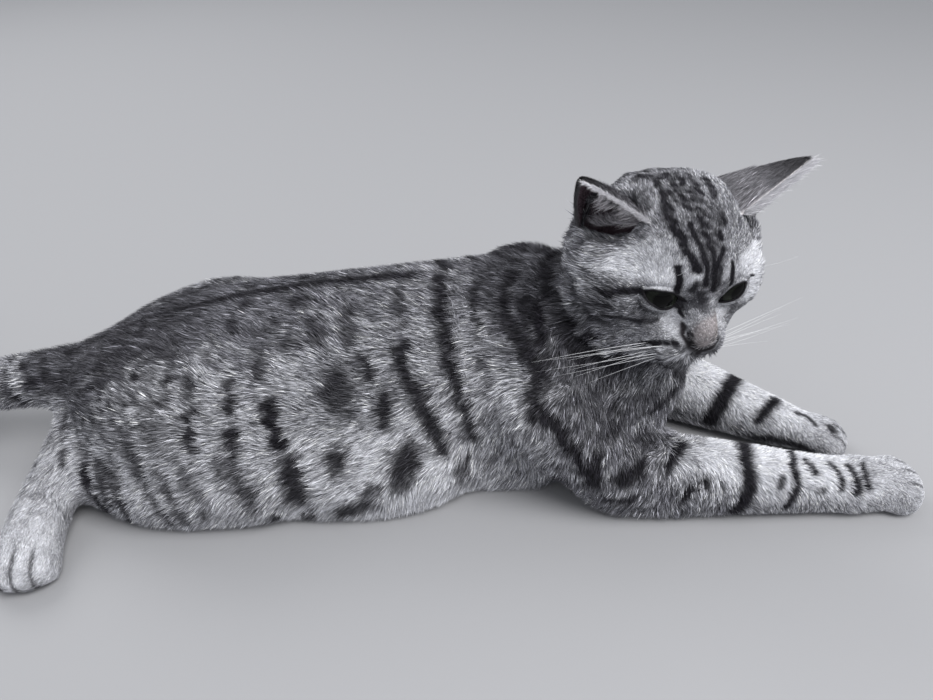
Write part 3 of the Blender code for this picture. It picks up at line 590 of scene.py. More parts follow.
def coat_tint(points, part, pale):
    """The coat's colour at each place: slate to white by how pale the ground is, then black by the marks."""
    wobble = np.stack([wavy(points, 0.011, k) + 0.6 * wavy(points, 0.005, 10 + k) for k in (1, 2)], -1) * 0.14
    shift = wobble / 100
    moved = points + np.stack([shift[:, 0], 0 * shift[:, 0], shift[:, 1]], -1)
    nearly = points + (moved - points) * 0.3
    dark = np.zeros(len(points))
    named = {name: part == k for k, name in enumerate(PARTS)}

    def of_any(*names):
        return np.isin(part, [PARTS.index(name) for name in names])

    arms, thighs = of_any("right_upper_arm", "left_upper_arm"), of_any("right_thigh", "left_thigh")
    trunk_and_neck = of_any("trunk", "neck")
    right = points[:, 1] < 0
    along, angle = about_line(moved, SPINE)
    along = along * 100 - CHEST_ALONG
    round_it = np.abs(angle)
    body = trunk_and_neck | arms | thighs
    left_shift = np.where(right, 0, 0.9 * np.sin(round_it / 24) - 0.5)
    marks = stroked(along + left_shift, round_it, TRUNK_MARKS, TRUNK_DEGREE)
    dark = np.maximum(dark, 0.93 * marks * body)
    ribs = smooth_step(55, 90, round_it) * smooth_step(-14, -9, along) * (1 - smooth_step(0, 6, along))
    pale = pale + 0.38 * ribs * named["trunk"]
    pale = pale - 0.17 * (1 - smooth_step(8, 50, round_it)) * trunk_and_neck
    pale = pale + 0.12 * smooth_step(-1, 3, along) * smooth_step(75, 95, round_it) * named["trunk"]
    hind = 0.22 * (1 - smooth_step(-17, -8, along)) * (1 - smooth_step(60, 80, round_it))
    pale = pale - hind * named["trunk"]
    step = 0.05 * smooth_step(-6, -2, along) - 0.05 * (1 - smooth_step(-8, -4, along))
    pale = pale + step * named["trunk"]
    # The neck in front of the shoulders is darkened: partly the coat's dark collar and partly painted shade
    # under the head.
    collar_and_neck_shade = smooth_step(3.0, 4.8, along) * (1 - smooth_step(48, 68, round_it)) * trunk_and_neck
    dark = np.maximum(dark, 0.44 * collar_and_neck_shade)
    rump = (1 - smooth_step(-19, -12, along)) * (1 - smooth_step(42, 66, round_it)) * named["trunk"]
    dark = np.maximum(dark, rump * np.clip(0.56 + 0.40 * wavy(points, 0.008, 9), 0, 0.82))
    haunch = (1 - smooth_step(-17, -12, along)) * smooth_step(25, 45, round_it)
    haunch = haunch * (1 - smooth_step(68, 92, round_it))
    dark = np.maximum(dark, 0.48 * haunch * (named["trunk"] | thighs) * (1 + 0.6 * wavy(points, 0.008, 14)))
    sides = body | named["right_forearm"]
    # Painted shade: the neck and the near upper arm are darkened above about six centimetres, under the head.
    shade_on_neck_and_shoulder = of_any("neck", "right_upper_arm") * smooth_step(0.055, 0.075, points[:, 2])
    dark = np.maximum(dark, 0.34 * shade_on_neck_and_shoulder)
    behind_elbow = 1 - smooth_step(0.040, 0.055, points[:, 0])
    pale = pale + 0.22 * behind_elbow * arms
    outer = smooth_step(0.018, 0.030, np.abs(points[:, 1]))
    marks = stroked(moved[:, 0] * 100 + left_shift, moved[:, 2] * 100, SIDE_MARKS, 1)
    dark = np.maximum(dark, marks * sides * outer)
    for name, line, strokes in (
        ("right_forearm", RIGHT_ARM, RIGHT_ARM_MARKS), ("left_forearm", LEFT_ARM, LEFT_ARM_MARKS)
    ):
        along, angle = about_line(nearly, line)
        marks = stroked(along * 100, angle, strokes, ARM_DEGREE)
        dark = np.maximum(dark, marks * named[name])
        whiter = (1 - smooth_step(30, 75, np.abs(angle))) * smooth_step(0.03, 0.05, along)
        whiter *= 1 - smooth_step(0.125, 0.15, along)
        pale = pale + 0.42 * whiter * named[name]
        under = smooth_step(70, 110, np.abs(angle)) * (1 - smooth_step(0.14, 0.17, along))
        pale = pale - 0.30 * under * named[name]
    along, _ = about_line(moved, TAIL_LINE)
    of_tail = of_any("tail_root", "tail_middle", "tail_end")
    rings = smooth_step(0.15, 0.55, np.cos(2 * np.pi * (along - 0.02) / 0.036)) * (along > 0.06)
    rings = np.maximum(0.85 * rings, smooth_step(0.235, 0.250, along))
    dark = np.maximum(dark, rings * of_tail)
    own = in_head(points)
    up = np.degrees(np.arctan2(own[:, 2], own[:, 0]))
    of_head = of_any("head", "nose")
    side = own[:, 1] * 100 + 0.30 * wobble[:, 0]
    up = np.where(up < -130, up + 360, up) + 3 * wobble[:, 1]
    face = (own[:, 0] > -0.02) | (own[:, 2] > 0)
    dark = np.maximum(dark, stroked(side, up, HEAD_MARKS_AND_CHIN_SHADOW, HEAD_DEGREE) * of_head * face)
    pale = pale + 0.60 * stroked(side, up, HEAD_PALES, HEAD_DEGREE) * of_head * (own[:, 0] > 0)
    # Painted shade: the lower cheek on the near side is made darker.
    shaded_near_cheek = smooth_step(0.022, 0.034, -own[:, 1]) * smooth_step(0.0, -0.012, own[:, 2])
    pale = pale - 0.10 * shaded_near_cheek * of_head
    rear = smooth_step(-0.018, -0.034, own[:, 0]) * np.clip(0.5 + 0.4 * wavy(points, 0.010, 12), 0.1, 0.8)
    dark = np.maximum(dark, rear * of_head)
    # Painted shade of the cheek ruff: behind and below it the coat is made slate and darkened towards black.
    shade_behind_ruff = behind_cheeks(own, 0.014) * of_head
    pale = pale + (0.02 - pale) * shade_behind_ruff
    dark = np.maximum(dark, (0.60 - 0.25 * smooth_step(-0.02, 0.01, own[:, 2])) * shade_behind_ruff)
    under_chin = smooth_step(0.030, 0.042, own[:, 0]) * smooth_step(-0.043, -0.050, own[:, 2])
    under_chin = under_chin * (own[:, 2] > -0.09)
    pale = pale + 0.40 * under_chin * (trunk_and_neck | of_head)
    mottled = 0.5 + 0.5 * np.clip(3.0 * wavy(points, 0.0045, 8), -1, 1)
    dark = dark * np.where(of_head & (up > 50), 0.80 + 0.40 * mottled, 1)
    dark = np.clip(1.1 * dark, 0, 1)
    # Painted shade in the grooves between the toes.
    dark = np.maximum(dark, 0.75 * between_toes(points))
    # A painted highlight on the top of the nose's velvet makes it paler there.
    painted_nose_highlight = np.exp(-((own[:, 1] - 0.0010) / 0.0050) ** 2 - ((own[:, 2] + 0.0030) / 0.0045) ** 2)
    velvet_tint = np.array([0.19, 0.18, 0.185]) + np.array([0.24, 0.225, 0.225]) * painted_nose_highlight[:, None]
    velvet_tint = velvet_tint + np.array([0.06, 0.03, 0.01]) * smooth_step(0.002, 0.009, own[:, 1])[:, None]
    pale = pale + 0.10 * wavy(points, 0.012, 5) + 0.07 * wavy(points, 0.004, 6)
    pale = np.clip(pale, 0.02, 1.0)[:, None]
    tint = SLATE + (WHITE - SLATE) * pale
    tint = tint + (velvet_tint - tint) * (0.9 * velvet_of(own) * of_head)[:, None]
    return tint + (BLACK - tint) * np.clip(dark, 0, 1)[:, None], dark


def painted(mesh, tint):
    """A colour for each point of the mesh, kept as its attribute tint."""
    colour = mesh.attributes.new("tint", "FLOAT_COLOR", "POINT")
    colour.data.foreach_set("color", np.column_stack([tint, np.ones(len(tint))]).astype(np.float32).ravel())


skin_tint, _ = coat_tint(places, of_node, trait[:, 5])
# The skin is darker than the hair over it: painted shade among the hair's roots.
skin_tint = skin_tint * 0.62
# The mouth's line and the groove under the nose are darkened along their creases, and the grooves between the
# toes get painted shade.
dark_lines_and_toe_shade = np.clip(0.95 * mouth + 0.9 * groove + 0.7 * between_toes(places), 0, 1)[:, None]
skin_tint = skin_tint * (1 - 0.85 * dark_lines_and_toe_shade)
rim = ((1 - smooth_step(4.0, 8.0, lid_edge)))[:, None]
skin_tint = skin_tint + (np.array([0.012, 0.011, 0.013]) - skin_tint) * rim
NOSE_RIM = (
    (1.0, 0.24, (-0.84, -0.62), (-0.90, -1.0), (-0.66, -1.28)), (1.0, 0.46, (-0.55, -1.35), (-0.10, -1.66)),
    (1.0, 0.80, (0.05, -1.80), (0.42, -2.10)), (1.0, 0.50, (0.42, -2.0), (0.85, -1.78)),
    (1.0, 0.30, (0.85, -1.72), (1.15, -1.50)), (0.9, 0.16, (-0.65, -0.62), (-0.62, -1.10)),
    (1.0, 0.50, (0.36, -2.1), (0.42, -2.5)),
)
nose_rim = stroked(own[:, 1] * 100, own[:, 2] * 100, NOSE_RIM, 1) * (own[:, 0] > 0.036)
# The black rim of the nose leather, and painted shade in the pits of the nostrils.
nose_rim_and_nostril_shade = np.clip(np.maximum(nose_rim, nostril * 0.8), 0, 1)[:, None]
velvet_tint = np.array([0.26, 0.235, 0.24])
skin_tint = skin_tint + (velvet_tint - skin_tint) * (leather * 0.9)[:, None]
skin_tint = skin_tint + (np.array([0.016, 0.014, 0.016]) - skin_tint) * nose_rim_and_nostril_shade
EAR_PINK = np.array([0.17, 0.118, 0.140])
# Inside each ear's root the skin is the ear's pink at half its brightness: pink skin, and painted shade in
# the hollow of the cup.
skin_tint = skin_tint + (EAR_PINK * 0.5 - skin_tint) * np.clip(2.5 * in_ear[:, None], 0, 1)

# The ears are thin cupped leaves of the same hide, rooted on the sides of the crown. Across a leaf, from
# its front edge round its back to its outer edge, a row is a parabola; upwards the rows close to the tip.
EAR_THICKNESS = 0.0013
EAR_ROUND = {-1: (0.08, 0.16), 1: (-0.42, 0.05)}


def ear_leaf(share, up, side):
    """The middle of the leaf in the head's axes: share -1 to 1 from its front edge round to its outer one,
    up 0 at the root and 1 at the rounded tip, where a row's width is the root of (1-up)(1+c up)."""
    share, up = np.asarray(share)[..., None], np.asarray(up)[..., None]
    ends = EAR_FRONT * share * (share - 1) / 2 + EAR_OUTER * share * (share + 1) / 2
    row = ends + EAR_BACKS[side] * (1 - share**2)
    left = np.maximum(1 - up, 0)
    narrow = np.sqrt(left * (1 + (EAR_ROUND[side][0] + EAR_ROUND[side][1] * share) * np.clip(up, -0.5, 1)))
    middle = (EAR_FRONT + EAR_BACKS[side] + EAR_OUTER) / 3
    stem = middle + (EAR_TIPS[side] - middle) * (0.55 * up + 0.45 * (1 - narrow))
    leaf = stem + (row - middle) * narrow
    return leaf * (1, side, 1)


def ear_facing(share, up, side):
    """Which way the back of the leaf faces, square to its rise and to its width."""
    step = 0.02
    up = np.minimum(up, 0.96)
    wide = ear_leaf(share + step, up, side) - ear_leaf(share - step, up, side)
    tall = ear_leaf(share, up + step, side) - ear_leaf(share, up - step, side)
    return unit(np.cross(tall, wide)) * side


def ear_shell(side, columns=30, rows=30):
    """A closed leaf: each row runs over its back and returns inside, and back and inside meet at the rim."""
    share = np.cos(np.linspace(0, np.pi, columns))
    share, over = np.concatenate([share, share[-2:0:-1]]), np.repeat((1, -1), (columns, columns - 2))
    up = 1 - 1.30 * np.linspace(1, 0, rows) ** 1.6
    share, up = np.meshgrid(share, up)
    thick = EAR_THICKNESS * np.sqrt(np.clip(1 - share**4, 0, 1)) * np.sqrt(np.clip(1 - up**8, 0, 1))
    middle = ear_leaf(share, up, side)
    shell = middle + ear_facing(share, up, side) * (over * thick / 2)[..., None]
    loop = share.shape[1]
    k = np.arange(rows - 1)[:, None] * loop
    j = np.arange(loop)
    quads = np.stack([k + j, k + (j + 1) % loop, k + loop + (j + 1) % loop, k + loop + j], -1).reshape(-1, 4)
    back = (np.broadcast_to(over, share.shape) > 0).reshape(-1)
    rimmed = (smooth_step(0.955, 0.995, np.abs(share)) + smooth_step(0.975, 0.998, up)).reshape(-1).clip(0, 1)
    inner = EAR_PINK * (0.7 + 0.7 * smooth_step(0.2, 0.9, up.reshape(-1, 1)))
    behind = np.array([0.21, 0.205, 0.225]) * (1 - 0.65 * smooth_step(0.2, 0.8, up.reshape(-1, 1)))
    tint = np.where(back[:, None], behind, inner)
    front_rim = (share.reshape(-1, 1) < 0.0) | (side > 0)
    tint = tint + (np.where(front_rim, [0.62, 0.59, 0.60], [0.13, 0.10, 0.115]) - tint) * rimmed[:, None]
    return from_head(shell.reshape(-1, 3)), quads, tint


def whole_mesh(name, points, faces):
    """A new mesh of these points and faces."""
    mesh = bpy.data.meshes.new(name)
    mesh.from_pydata(points, [], faces)
    return mesh


def turned_out(mesh, merge=0, fill=False):
    """The mesh with corners nearer than merge joined, its holes filled where asked and its faces outwards."""
    form = bmesh.new()
    form.from_mesh(mesh)
    if merge:
        bmesh.ops.remove_doubles(form, verts=form.verts, dist=merge)
    if fill:
        bmesh.ops.holes_fill(form, edges=[edge for edge in form.edges if edge.is_boundary])
    bmesh.ops.recalc_face_normals(form, faces=form.faces)
    form.to_mesh(mesh)
    form.free()


painted(hide, skin_tint)
form = bmesh.new()
form.from_mesh(hide)
for side in (-1, 1):
    points, quads, tint = ear_shell(side)
    mesh = whole_mesh("ear", points, quads.tolist())
    painted(mesh, tint)
    turned_out(mesh, 2e-5, fill=True)
    form.from_mesh(mesh)
skin_mesh = bpy.data.meshes.new("skin")
form.to_mesh(skin_mesh)
form.free()
skin = placed("skin", skin_mesh)
skin_mesh.shade_smooth()
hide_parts(*FLESH, *EARS)
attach(skin, "root")


def link(tree, source, output, target, entry):
    """One node's output led to another's input."""
    tree.links.new(source.outputs[output], target.inputs[entry])


def finish(name, roughness, specular=0.5):
    """A new material and its shader, with the roughness and the gloss that hold all over the piece."""
    material = bpy.data.materials.new(name)
    material.use_nodes = True
    shader = material.node_tree.nodes["Principled BSDF"]
    shader.inputs["Roughness"].default_value = roughness
    shader.inputs["Specular IOR Level"].default_value = specular
    return material, material.node_tree, shader


def tint_of(tree):
    """The colour painted on the piece's points, as a node of the material."""
    paint = tree.nodes.new("ShaderNodeAttribute")
    paint.attribute_name = "tint"
    return paint


# The skin's finish: its painted colour, streaked by the nap of fine under-hair, and a bump of the same nap.
hide_finish, tree, shader = finish("short_fur", 0.80, 0.12)
nap = tree.nodes.new("ShaderNodeTexNoise")
nap.inputs["Scale"].default_value = 900
nap.inputs["Detail"].default_value = 3
where = tree.nodes.new("ShaderNodeTexCoord")
link(tree, where, "Object", nap, "Vector")
spread = tree.nodes.new("ShaderNodeMapRange")
spread.inputs["From Min"].default_value = 0.3
spread.inputs["From Max"].default_value = 0.7
spread.inputs["To Min"].default_value = 0.6
spread.inputs["To Max"].default_value = 1.4
link(tree, nap, "Fac", spread, "Value")
mixed = tree.nodes.new("ShaderNodeVectorMath")
mixed.operation = "SCALE"
link(tree, tint_of(tree), "Color", mixed, 0)
link(tree, spread, "Result", mixed, "Scale")
link(tree, mixed, "Vector", shader, "Base Color")
bump = tree.nodes.new("ShaderNodeBump")
bump.inputs["Strength"].default_value = 0.25
bump.inputs["Distance"].default_value = 0.0005
link(tree, nap, "Fac", bump, "Height")
link(tree, bump, "Normal", shader, "Normal")
skin_mesh.materials.clear()
skin_mesh.materials.append(hide_finish)

# ---- The coat -------------------------------------------------------------------------------------
# Short dense hair that lies along the body from the nose to the tail and down the legs. Each tuft is a
# thin pointed blade of two triangles, rooted in the skin and bent round it; blades near each other lean
# together into locks. A region of the body is one piece.
NOSE_PLACE = np.array([0.052, 0, -0.010])


def along_skin(vectors, normals):
    """The vectors' directions once what points along the normals is taken away."""
    return unit(vectors - normals * (vectors * normals).sum(1, keepdims=True))


own = in_head(places)
reach = np.linalg.norm(own, axis=1)
on_head = (1 - smooth_step(0.046, 0.064, reach)) * np.isin(of_node, (0, 1, 2))
from_nose = unit(own - NOSE_PLACE)
from_nose = from_nose + np.array([0, 0, -0.5]) * smooth_step(0.012, 0.040, np.abs(own[:, 1]))[:, None]
for side in (-1, 1):
    off = own - EYE_PLACE * (1, side, 1)
    away = np.linalg.norm(off, axis=1, keepdims=True)
    from_nose = from_nose + 1.4 * off / away * np.exp(-((away - EYE_RADIUS) / 0.006) ** 2)
# On the trunk the hair points back, a little up towards the spine on the flanks, and ever more down on the
# shoulders and along the belly: degrees turned down from straight back, by the place along and round it.
along, round_it = about_line(places, SPINE)
along, side_of = along * 100 - CHEST_ALONG, np.sign(round_it)
round_it = np.abs(round_it)
flank_turn = np.interp(round_it, (0, 15, 40, 75, 95, 115, 150), (0, -12, -18, -8, 22, 48, 60))
shoulder_turn = np.interp(round_it, (0, 15, 40, 75, 95, 115, 150), (0, 4, 12, 30, 46, 58, 62))
to_shoulder = smooth_step(-6.5, 1.5, along)
turned = np.radians(flank_turn + (shoulder_turn - flank_turn) * to_shoulder)[:, None]
outwards = unit(np.stack([0 * along, places[:, 1], places[:, 2] - 0.05], -1))
down = np.cross(outwards, [1, 0, 0]) * -side_of[:, None]
down = down * np.where(down[:, 2:] * np.abs(np.sin(np.radians(round_it)))[:, None] > 0, -1, 1)
trunk_lie = np.array([-1, 0, 0]) * np.cos(turned) + down * np.sin(turned)
of_trunk = np.isin(of_node, [PARTS.index(name) for name in ("trunk", "right_thigh", "left_thigh")])[:, None]
back_of_thigh = (1 - smooth_step(-26.0, -22.5, along))[:, None] * (places[:, 1:2] < -0.03)
trunk_lie = trunk_lie * (1 - back_of_thigh) + np.array([0.45, -0.2, -0.85]) * back_of_thigh
body_lie = eased(np.where(of_trunk, trunk_lie, trait[:, :3]), near, 12)
lie = body_lie * (1 - on_head[:, None]) + (from_nose @ HEAD_TURN.T) * on_head[:, None]
lie = along_skin(lie, normals)
turned = np.radians(16 * wavy(places, 0.030, 21) + 9 * wavy(places, 0.012, 22))[:, None]
lie = lie * np.cos(turned) + np.cross(normals, lie) * np.sin(turned)


def bent_along(lie):
    """How sharply the skin curves away below a hair: the turn of the normal along the lie, per metre,
    from the neighbours of each point."""
    others, start, count = near
    at = np.repeat(np.arange(len(places)), count[:, 0])
    step = ((places[others] - places[at]) * lie[at]).sum(1)
    turn = ((normals[others] - normals[at]) * lie[at]).sum(1)
    sharp = np.add.reduceat(step * turn, start) / (np.add.reduceat(step * step, start) + 1e-12)
    return eased(np.clip(sharp, -60, 110)[:, None], near, 5)[:, 0]


bend = bent_along(lie)
length = trait[:, 4].copy()
face_length = np.interp(own[:, 0], (-0.05, -0.03, 0.01, 0.03, 0.038, 0.046), (10.0, 8.0, 4.8, 3.0, 1.9, 1.1))
face_length = face_length * (1 - 0.6 * velvet_of(own))
face_length += 3.5 * smooth_step(0.028, 0.045, np.abs(own[:, 1])) * smooth_step(0.014, 0.0, own[:, 2])
face_length += 2.5 * smooth_step(-0.044, -0.052, own[:, 2])
crown_share = 0.35 * smooth_step(0.016, 0.026, own[:, 2]) * smooth_step(-0.035, -0.02, own[:, 0])
face_length = face_length * (1 - crown_share)
ruff = behind_cheeks(own)
edge_of_ruff = 4 * ruff * (1 - ruff)
length = length * (1 - on_head) + face_length * on_head
wide_of_cheek = 0.35 * smooth_step(0.034, 0.046, np.abs(own[:, 1]))
length = length + 5.0 * on_head * np.clip(edge_of_ruff + wide_of_cheek, 0, 1)
length = length * (1 - 0.62 * (1 - smooth_step(6, 26, lid_edge)))
fringe = smooth_step(0.0, -0.7, normals[:, 2]) * smooth_step(0.006, 0.012, places[:, 2])
fringe *= smooth_step(-0.02, 0.03, places[:, 0]) * (1 - smooth_step(0.18, 0.22, places[:, 0])) * (1 - on_head)
length = length + 9.0 * fringe
toe_share = np.zeros(len(places))
for tip, ahead, width in PAWS:
    past, across = in_paw(places, tip, ahead)
    at_toes = smooth_step(-0.055, -0.025, past) * (np.abs(across) < 0.8 * width) * (past < 0.02)
    at_toes = at_toes * (places[:, 2] < 0.05)
    toe_share = np.maximum(toe_share, at_toes)
length = length * (1 - toe_share) + 2.8 * toe_share
lift = trait[:, 3] * (1 - on_head) + np.minimum(0.30 * length, 2.6) * on_head
lift = lift * (1 - 0.55 * toe_share)
density = np.interp(length, (2, 4, 6, 8, 10), (7.9, 4.7, 3.5, 2.7, 2.2))
density += on_head * np.interp(length, (2, 4, 6, 8, 10), (3.8, 2.1, 0.8, 0.2, 0.0))
under_nose = (from_ball(own) < 1.15) & (own[:, 2] < -0.0145) & (own[:, 0] > 0.036)
bare = (nose_rim > 0.25) | under_nose | (mouth > 0.5) | (groove > 0.5) | (lid_edge < 5.5) | (in_ear > 0.25)
density = density * (1 - 0.6 * velvet_of(own))
density = np.where(bare, 0, density)
density = np.where((places[:, 2] < 0.0030) & (normals[:, 2] < -0.4), 0.12, density)
breadth = np.interp(length, (2, 4, 6, 8, 10), (0.17, 0.22, 0.27, 0.33, 0.38))

hair_finish, tree, shader = finish("silver_hair", 0.55, 0.10)
link(tree, tint_of(tree), "Color", shader, "Base Color")


def blade_paths(root, normal, lie, bend, length, lift, breadth, roll):
    """Four corners of each blade, in metres: the root, the two of its broadest place and the tip. At s along
    it a hair is at root + lie sin(bend s)/bend - normal (1 - cos(bend s))/bend, raised by its lift."""
    rows = []
    wide = np.cross(normal, lie)
    wide = wide * np.cos(roll)[:, None] + normal * np.sin(roll)[:, None]
    for share, raised, width in ((0.0, -0.06, 0.0), (0.48, 0.62, 0.5), (1.0, 1.0, 0.0)):
        s = length * share
        turn = bend * s
        ahead = s * np.sinc(turn / np.pi)
        down = bend * s * s / 2 * np.sinc(turn / (2 * np.pi)) ** 2
        point = root + lie * ahead[:, None] + normal * (lift * raised - down)[:, None]
        aside = wide * (breadth * width)[:, None]
        rows += [point - aside, point + aside] if width else [point]
    return np.stack(rows, 1)


def hair_piece(name, blades, tint, root_shade_and_ticking, unwrap):
    """One mesh of many blades, each two triangles that share its broadest line. Every blade has its own
    small patch of the OFBake map, at its root's place on the unwrap."""
    count = len(blades)
    mesh = bpy.data.meshes.new(name)
    mesh.vertices.add(count * 4)
    mesh.vertices.foreach_set("co", blades.astype(np.float32).ravel())
    corners = (np.arange(count)[:, None] * 4 + np.array([0, 2, 1, 1, 2, 3])).astype(np.int32)
    mesh.loops.add(count * 6)
    mesh.loops.foreach_set("vertex_index", corners.ravel())
    mesh.polygons.add(count * 2)
    mesh.polygons.foreach_set("loop_start", np.arange(0, count * 6, 3, dtype=np.int32))
    patch = np.array([(0.5, 0), (1, 0.5), (0, 0.5), (0, 0.5), (1, 0.5), (0.5, 1)]) * 0.003
    chart = mesh.uv_layers.new(name="OFBake")
    chart.uv.foreach_set("vector", (unwrap[:, None, :] * 0.994 + patch).astype(np.float32).ravel())
    mesh.update(calc_edges=True)
    rows = np.stack([tint * root_shade_and_ticking[:, k : k + 1] for k in (0, 1, 1, 2)], 1)
    painted(mesh, rows.reshape(-1, 3))
    mesh.materials.append(hair_finish)
    piece = placed(name, mesh)
    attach(piece, "root")


def sown(chosen, seed):
    """Roots spread evenly by chance over the chosen triangles of the skin, so many to each square
    millimetre as the density says: the corners of each root's triangle and its share of each."""
    dice = np.random.default_rng(seed)
    corners = triangles[chosen]
    a, b, c = (places[corners[:, k]] for k in range(3))
    area = np.linalg.norm(np.cross(b - a, c - a), axis=1) * 0.5e6
    weight = np.cumsum(area * density[corners].mean(1))
    count = int(weight[-1])
    at = np.searchsorted(weight, (np.arange(count) + dice.random(count)) * (weight[-1] / count))
    u, v = dice.random(count), dice.random(count)
    u, v = np.where(u + v > 1, 1 - u, u), np.where(u + v > 1, 1 - v, v)
    return corners[np.minimum(at, len(corners) - 1)], np.stack([1 - u - v, u, v], 1)[..., None], dice


hide.calc_loop_triangles()
triangles = as_array(hide.loop_triangles, "vertices", 3, np.int32)
ground = trait[:, 5]
HEAD_LINE = [tuple(from_head(np.array([-0.06, 0, 0.0]))), tuple(from_head(np.array([0.05, 0, 0.0])))]
HIND_RIGHT = [(-0.12, -0.07, 0.05), (-0.25, -0.09, 0.02), (-0.2485, -0.131, 0.010)]
HIND_LEFT = [(-0.20, 0.06, 0.06), (-0.14, 0.096, 0.02), (-0.094, 0.101, 0.010)]
NECK_LINE = [(0.02, 0, 0.06), (0.109, -0.035, 0.155)]


def part_of(*names):
    """Which places of the skin are on these lengths of the body."""
    return np.isin(of_node, [PARTS.index(name) for name in names])


head_right = in_head(places)[:, 1] < 0
of_head = part_of("head", "nose")
x = places[:, 0]
REGIONS = (
    ("coat_head_right", of_head & head_right, HEAD_LINE),
    ("coat_head_left", of_head & ~head_right, HEAD_LINE),
    ("coat_neck", part_of("neck"), NECK_LINE),
    ("coat_shoulders", part_of("trunk") & (x > -0.045), SPINE),
    ("coat_back", part_of("trunk") & (x <= -0.045) & (x > -0.145), SPINE),
    ("coat_rump", part_of("trunk") & (x <= -0.145), SPINE),
    ("coat_right_foreleg", part_of("right_upper_arm", "right_forearm"), RIGHT_ARM),
    ("coat_left_foreleg", part_of("left_upper_arm", "left_forearm"), LEFT_ARM),
    ("coat_right_hind_leg", part_of("right_thigh", "right_hock", "right_hind_foot"), HIND_RIGHT),
    ("coat_left_hind_leg", part_of("left_thigh", "left_hind_foot"), HIND_LEFT),
    ("coat_tail", part_of("tail_root", "tail_middle", "tail_end"), TAIL_LINE),
)
# The width of a lock of hair at its fullest, in metres.
LOCK = 0.0016
for seed, (name, chosen, line) in enumerate(REGIONS):
    corners, share, dice = sown(chosen[triangles[:, 0]], seed + 100)
    count = len(corners)

    def of_skin(values):
        """What the skin has at each root: its triangle's three values, each by its share."""
        return (values[corners] * share.reshape((count, 3) + (1,) * (values.ndim - 1))).sum(1)

    root, up, way = of_skin(places), unit(of_skin(normals)), along_skin(of_skin(lie), of_skin(normals))
    millimetres = of_skin(length)
    long = millimetres / 1000 * dice.uniform(0.60, 1.15, count)
    raised = of_skin(lift) / 1000 * dice.uniform(0.25, 0.95, count)
    size_of_lock = LOCK * np.interp(millimetres, (2, 6, 11), (0.35, 0.65, 1.0))
    jog = np.stack([wavy(root, 0.009, k) for k in (31, 32, 33)], -1)
    step = np.round(np.log2(size_of_lock) * 2) / 2
    cell = np.floor(root / (2**step)[:, None] + 0.35 * jog).astype(np.int64)
    key = (cell[:, 0] * 73856093) ^ (cell[:, 1] * 19349663) ^ (cell[:, 2] * 83492791)
    _, lock = np.unique(key, return_inverse=True)
    members = np.bincount(lock)[:, None]
    middle = np.stack([np.bincount(lock, root[:, k]) for k in range(3)], -1) / members
    lock_dice = dice.normal(size=(len(members), 3))
    toward = (middle[lock] - root) * 0.45
    way = way * long[:, None] + along_skin(toward, up) * np.linalg.norm(toward, axis=1, keepdims=True)
    way = unit(way)
    aside = 0.11 * lock_dice[lock, :1] + 0.12 * dice.normal(size=(count, 1))
    way = along_skin(way + np.cross(up, way) * aside, up)
    roll = np.radians(24 * dice.normal(size=count))
    broad = of_skin(breadth) / 1000 * dice.uniform(0.7, 1.3, count)
    blades = blade_paths(root, up, way, of_skin(bend), long, raised, broad, roll)
    blades[..., 2] = np.maximum(blades[..., 2], 0.0004)
    part = of_node[corners[:, 0]]
    tint, dark = coat_tint(root + way * (0.45 * long)[:, None], part, of_skin(ground))
    whole = 1 - 0.65 * smooth_step(0.25, 0.65, tint[:, 1])
    ticked = 0.24 * lock_dice[lock, 1] + 0.68 * dice.normal(size=count) * (1 - 0.4 * dark)
    ticked = np.exp(ticked * whole) * 0.95
    tint = np.clip(tint * ticked[:, None], 0.006, 0.93)
    # Along each blade the colour is darker at the root and varies at the middle and tip: partly painted shade
    # among the hairs and partly the hair's ticking.
    at_middle, at_tip = dice.uniform(0.75, 1.10, count), dice.uniform(0.70, 1.55, count)
    root_shade_and_ticking = np.stack([0.3 + 0.3 * (1 - whole), at_middle, at_tip], -1)
    black_tip = dice.random(count) < 0.22 * whole
    root_shade_and_ticking[black_tip, 2] = 0.35
    s, angle = about_line(root, line)
    unwrap = np.stack([angle / 360 + 0.5, (s - s.min()) / (np.ptp(s) + 1e-9)], -1)
    hair_piece(name, blades, tint, root_shade_and_ticking, unwrap)

